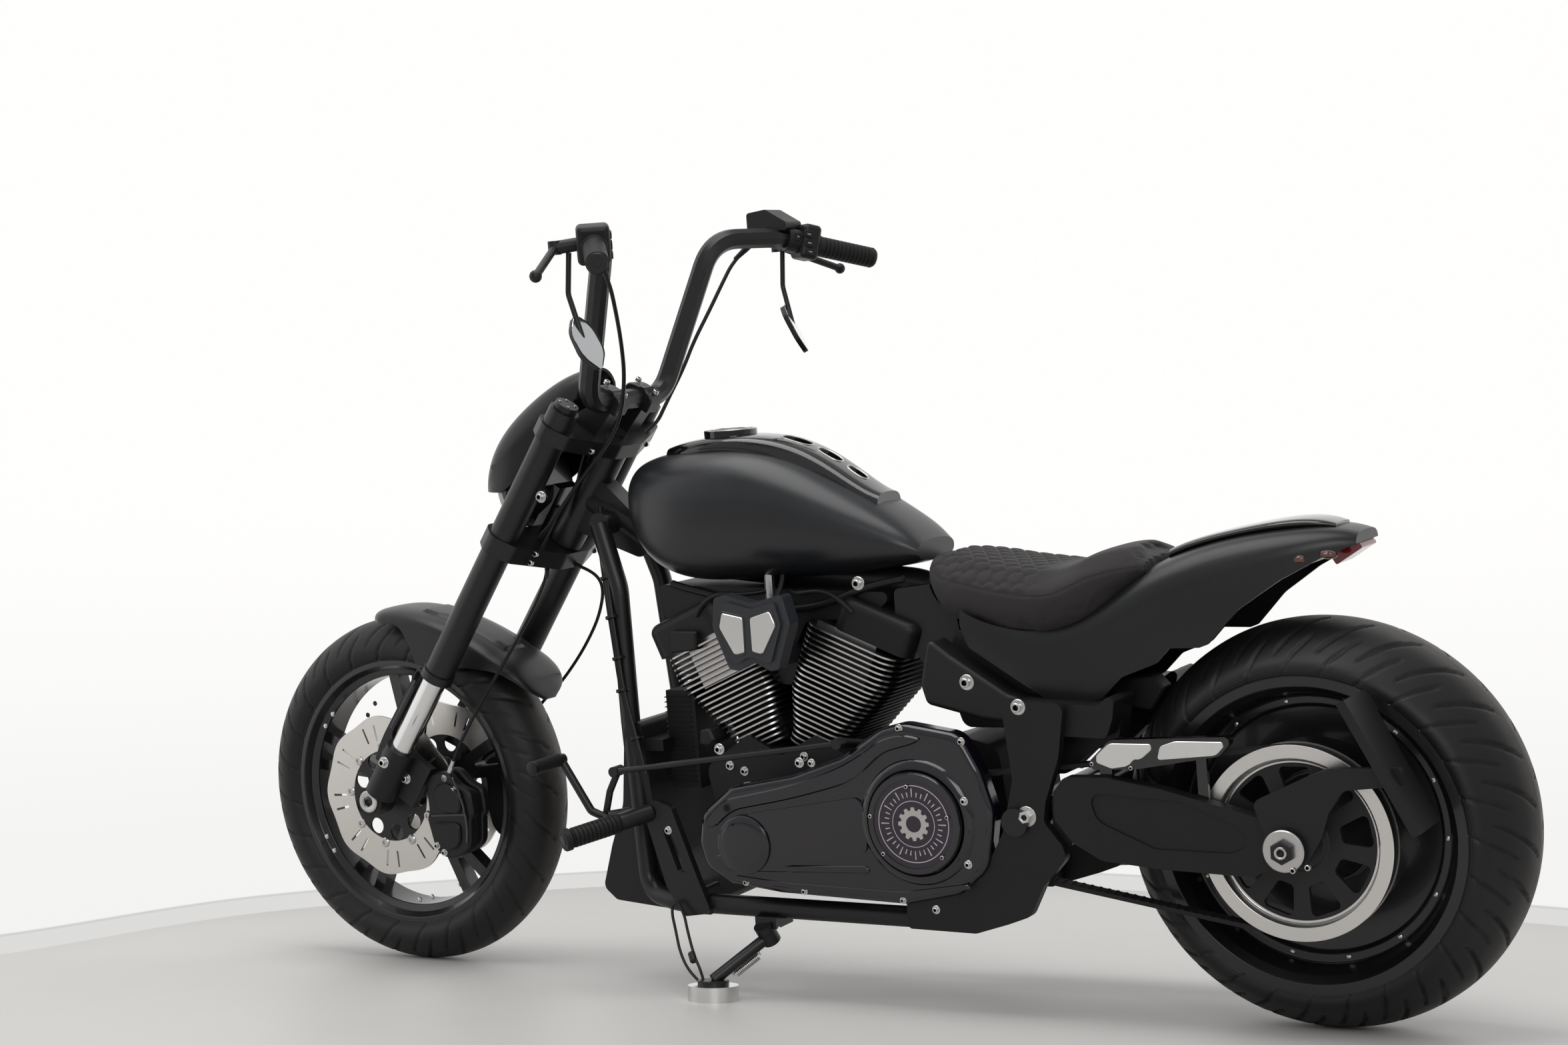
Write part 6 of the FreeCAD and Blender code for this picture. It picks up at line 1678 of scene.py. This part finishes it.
WALL_MARKS = [(-900, 3.75), (0, 4.8), (400, 5.57), (815, 6.06), (1176, 6.3), (1700, 6.0), (2352, 5.2),
              (3000, 4.5)]
WALL_MIDDLE = 1176
WALL_FOCUS = 3751
WALL_STEPS = 96
WALL_HEIGHT = 3.4
SKIRTING = 0.036
FLOOR_HALF = 30
FLOOR_COLOUR = (0.595, 0.58, 0.562)
WORLD_LEVEL = 0.45
GLOSSY_LEVEL = 0.1


def rays(graph, kinds):
    """1 for the kinds of ray that see a surface itself."""
    path = graph.node("LightPath")
    seen = Wire(graph, path.outputs[kinds[0]])
    for kind in kinds[1:]:
        seen = graph.maths("MAXIMUM", seen, Wire(graph, path.outputs[kind]))
    return seen


def studio_floor():
    """Pale, slightly glossy floor that keeps the machine's shadow."""
    mesh = bpy.data.meshes.new("floor")
    mesh.from_pydata([(FLOOR_HALF * x, FLOOR_HALF * y, 0) for x, y in ((-1, -1), (1, -1), (1, 1), (-1, 1))],
                     [], [(0, 1, 2, 3)])
    floor = shown("studio_floor", mesh)
    pale = Finish("pale floor", FLOOR_COLOUR, 0.45, Specular_IOR_Level=0.22)
    place = pale.place()
    cloud = pale.noise(place, 0.8, 4, 0.55)
    pale.set("Base Color",
             pale.mix(cloud, [c * 0.96 for c in FLOOR_COLOUR], [c * 1.04 for c in FLOOR_COLOUR]))
    pale.set("Roughness", pale.noise(place, 3, 4) * 0.14 + 0.38)
    shade(floor, pale)


def studio_wall():
    """Curved wall, seen as its own white from inside, with painted shade towards the floor, and not at all
    from behind.
    """
    eye = Vector((EYE[0], EYE[1], 0))
    ahead = Vector((math.cos(EYE_YAW), math.sin(EYE_YAW), 0))
    right = Vector((ahead.y, -ahead.x, 0))
    points = []
    first, last = WALL_MARKS[0][0], WALL_MARKS[-1][0]
    for step in range(WALL_STEPS + 1):
        place = first + (last - first) * step / WALL_STEPS
        depth = between(WALL_MARKS, place)[0]
        base = eye + ahead * depth + right * (depth * (place - WALL_MIDDLE) / WALL_FOCUS)
        points += [base, base + Vector((0, 0, WALL_HEIGHT))]
    faces = [(low - 2, low, low + 1, low - 1) for low in range(2, 2 * WALL_STEPS + 1, 2)]
    mesh = bpy.data.meshes.new("wall")
    mesh.from_pydata(points, [], faces)
    wall = shown("studio_wall", mesh)
    white = Finish("white wall", (1, 1, 1), 0.9)
    tree = white.tree
    _, _, z = white.parts(white.place())
    # Painted shade: the glow dims from 1.0 at 0.9 m to 0.9 at the floor.
    low = white.ramp(z, 0.0, 0.9, 0.90, 1.0)
    band = white.ramp(z, SKIRTING, SKIRTING + 0.004)
    line = white.ramp(z, SKIRTING - 0.004, SKIRTING - 0.002) * (1 - band)
    level = low * (band + (1 - band) * 0.80) - line * 0.08
    glow = white.node("Emission", None, Color=(1.0, 0.995, 0.985, 1))
    white.link(level, glow.inputs["Strength"])
    clear = white.node("BsdfTransparent")
    behind = Wire(white, white.node("NewGeometry").outputs["Backfacing"])
    seen = rays(white, ("Is Camera Ray", "Is Glossy Ray", "Is Transmission Ray")) * (1 - behind)
    blend = white.node("MixShader")
    white.link(seen, blend.inputs[0])
    tree.links.new(clear.outputs[0], blend.inputs[1])
    tree.links.new(glow.outputs[0], blend.inputs[2])
    tree.links.new(blend.outputs[0], tree.nodes["Material Output"].inputs["Surface"])
    tree.nodes.remove(white.shader)
    shade(wall, white)
    wall.visible_diffuse = False
    wall.visible_shadow = False


def studio_world():
    """Even light, weaker in the world's reflections than to the camera."""
    world = bpy.data.worlds.new("studio")
    bpy.context.scene.world = world
    world.use_nodes = True
    graph = Graph()
    graph.tree = world.node_tree
    background = graph.tree.nodes["Background"]
    background.inputs["Color"].default_value = (1, 1, 1, 1)
    seen = rays(graph, ("Is Camera Ray", "Is Transmission Ray"))
    glossy = rays(graph, ("Is Glossy Ray",))
    graph.link(graph.maths("MAXIMUM", seen, glossy * GLOSSY_LEVEL) * (1 - WORLD_LEVEL) + WORLD_LEVEL,
               background.inputs["Strength"])


def softbox(name, place, aim, size, power):
    """A rectangular lamp that points at a spot."""
    lamp = bpy.data.lights.new(name, "AREA")
    lamp.shape = "RECTANGLE"
    lamp.size, lamp.size_y = size
    lamp.energy = power
    holder = shown(name, lamp)
    holder.location = place
    holder.rotation_euler = (Vector(aim) - Vector(place)).to_track_quat("-Z", "Y").to_euler()


studio_floor()
studio_wall()
studio_world()
softbox("top_softbox", (0.2, 0.6, 3.6), (0, 0, 0.5), (3.4, 2.2), 70)
softbox("left_softbox", (-2.4, 3.4, 2.0), (0, 0, 0.6), (2.2, 1.8), 40)
softbox("front_softbox", (3.4, 1.6, 1.6), (0.3, 0, 0.6), (1.8, 1.8), 30)
softbox("back_softbox", (-0.6, -3.2, 2.2), (0, 0, 0.6), (3.0, 1.6), 25)

for head in HEADS:
    bpy.data.objects.remove(head)
bpy.context.scene.view_settings.view_transform = "Standard"
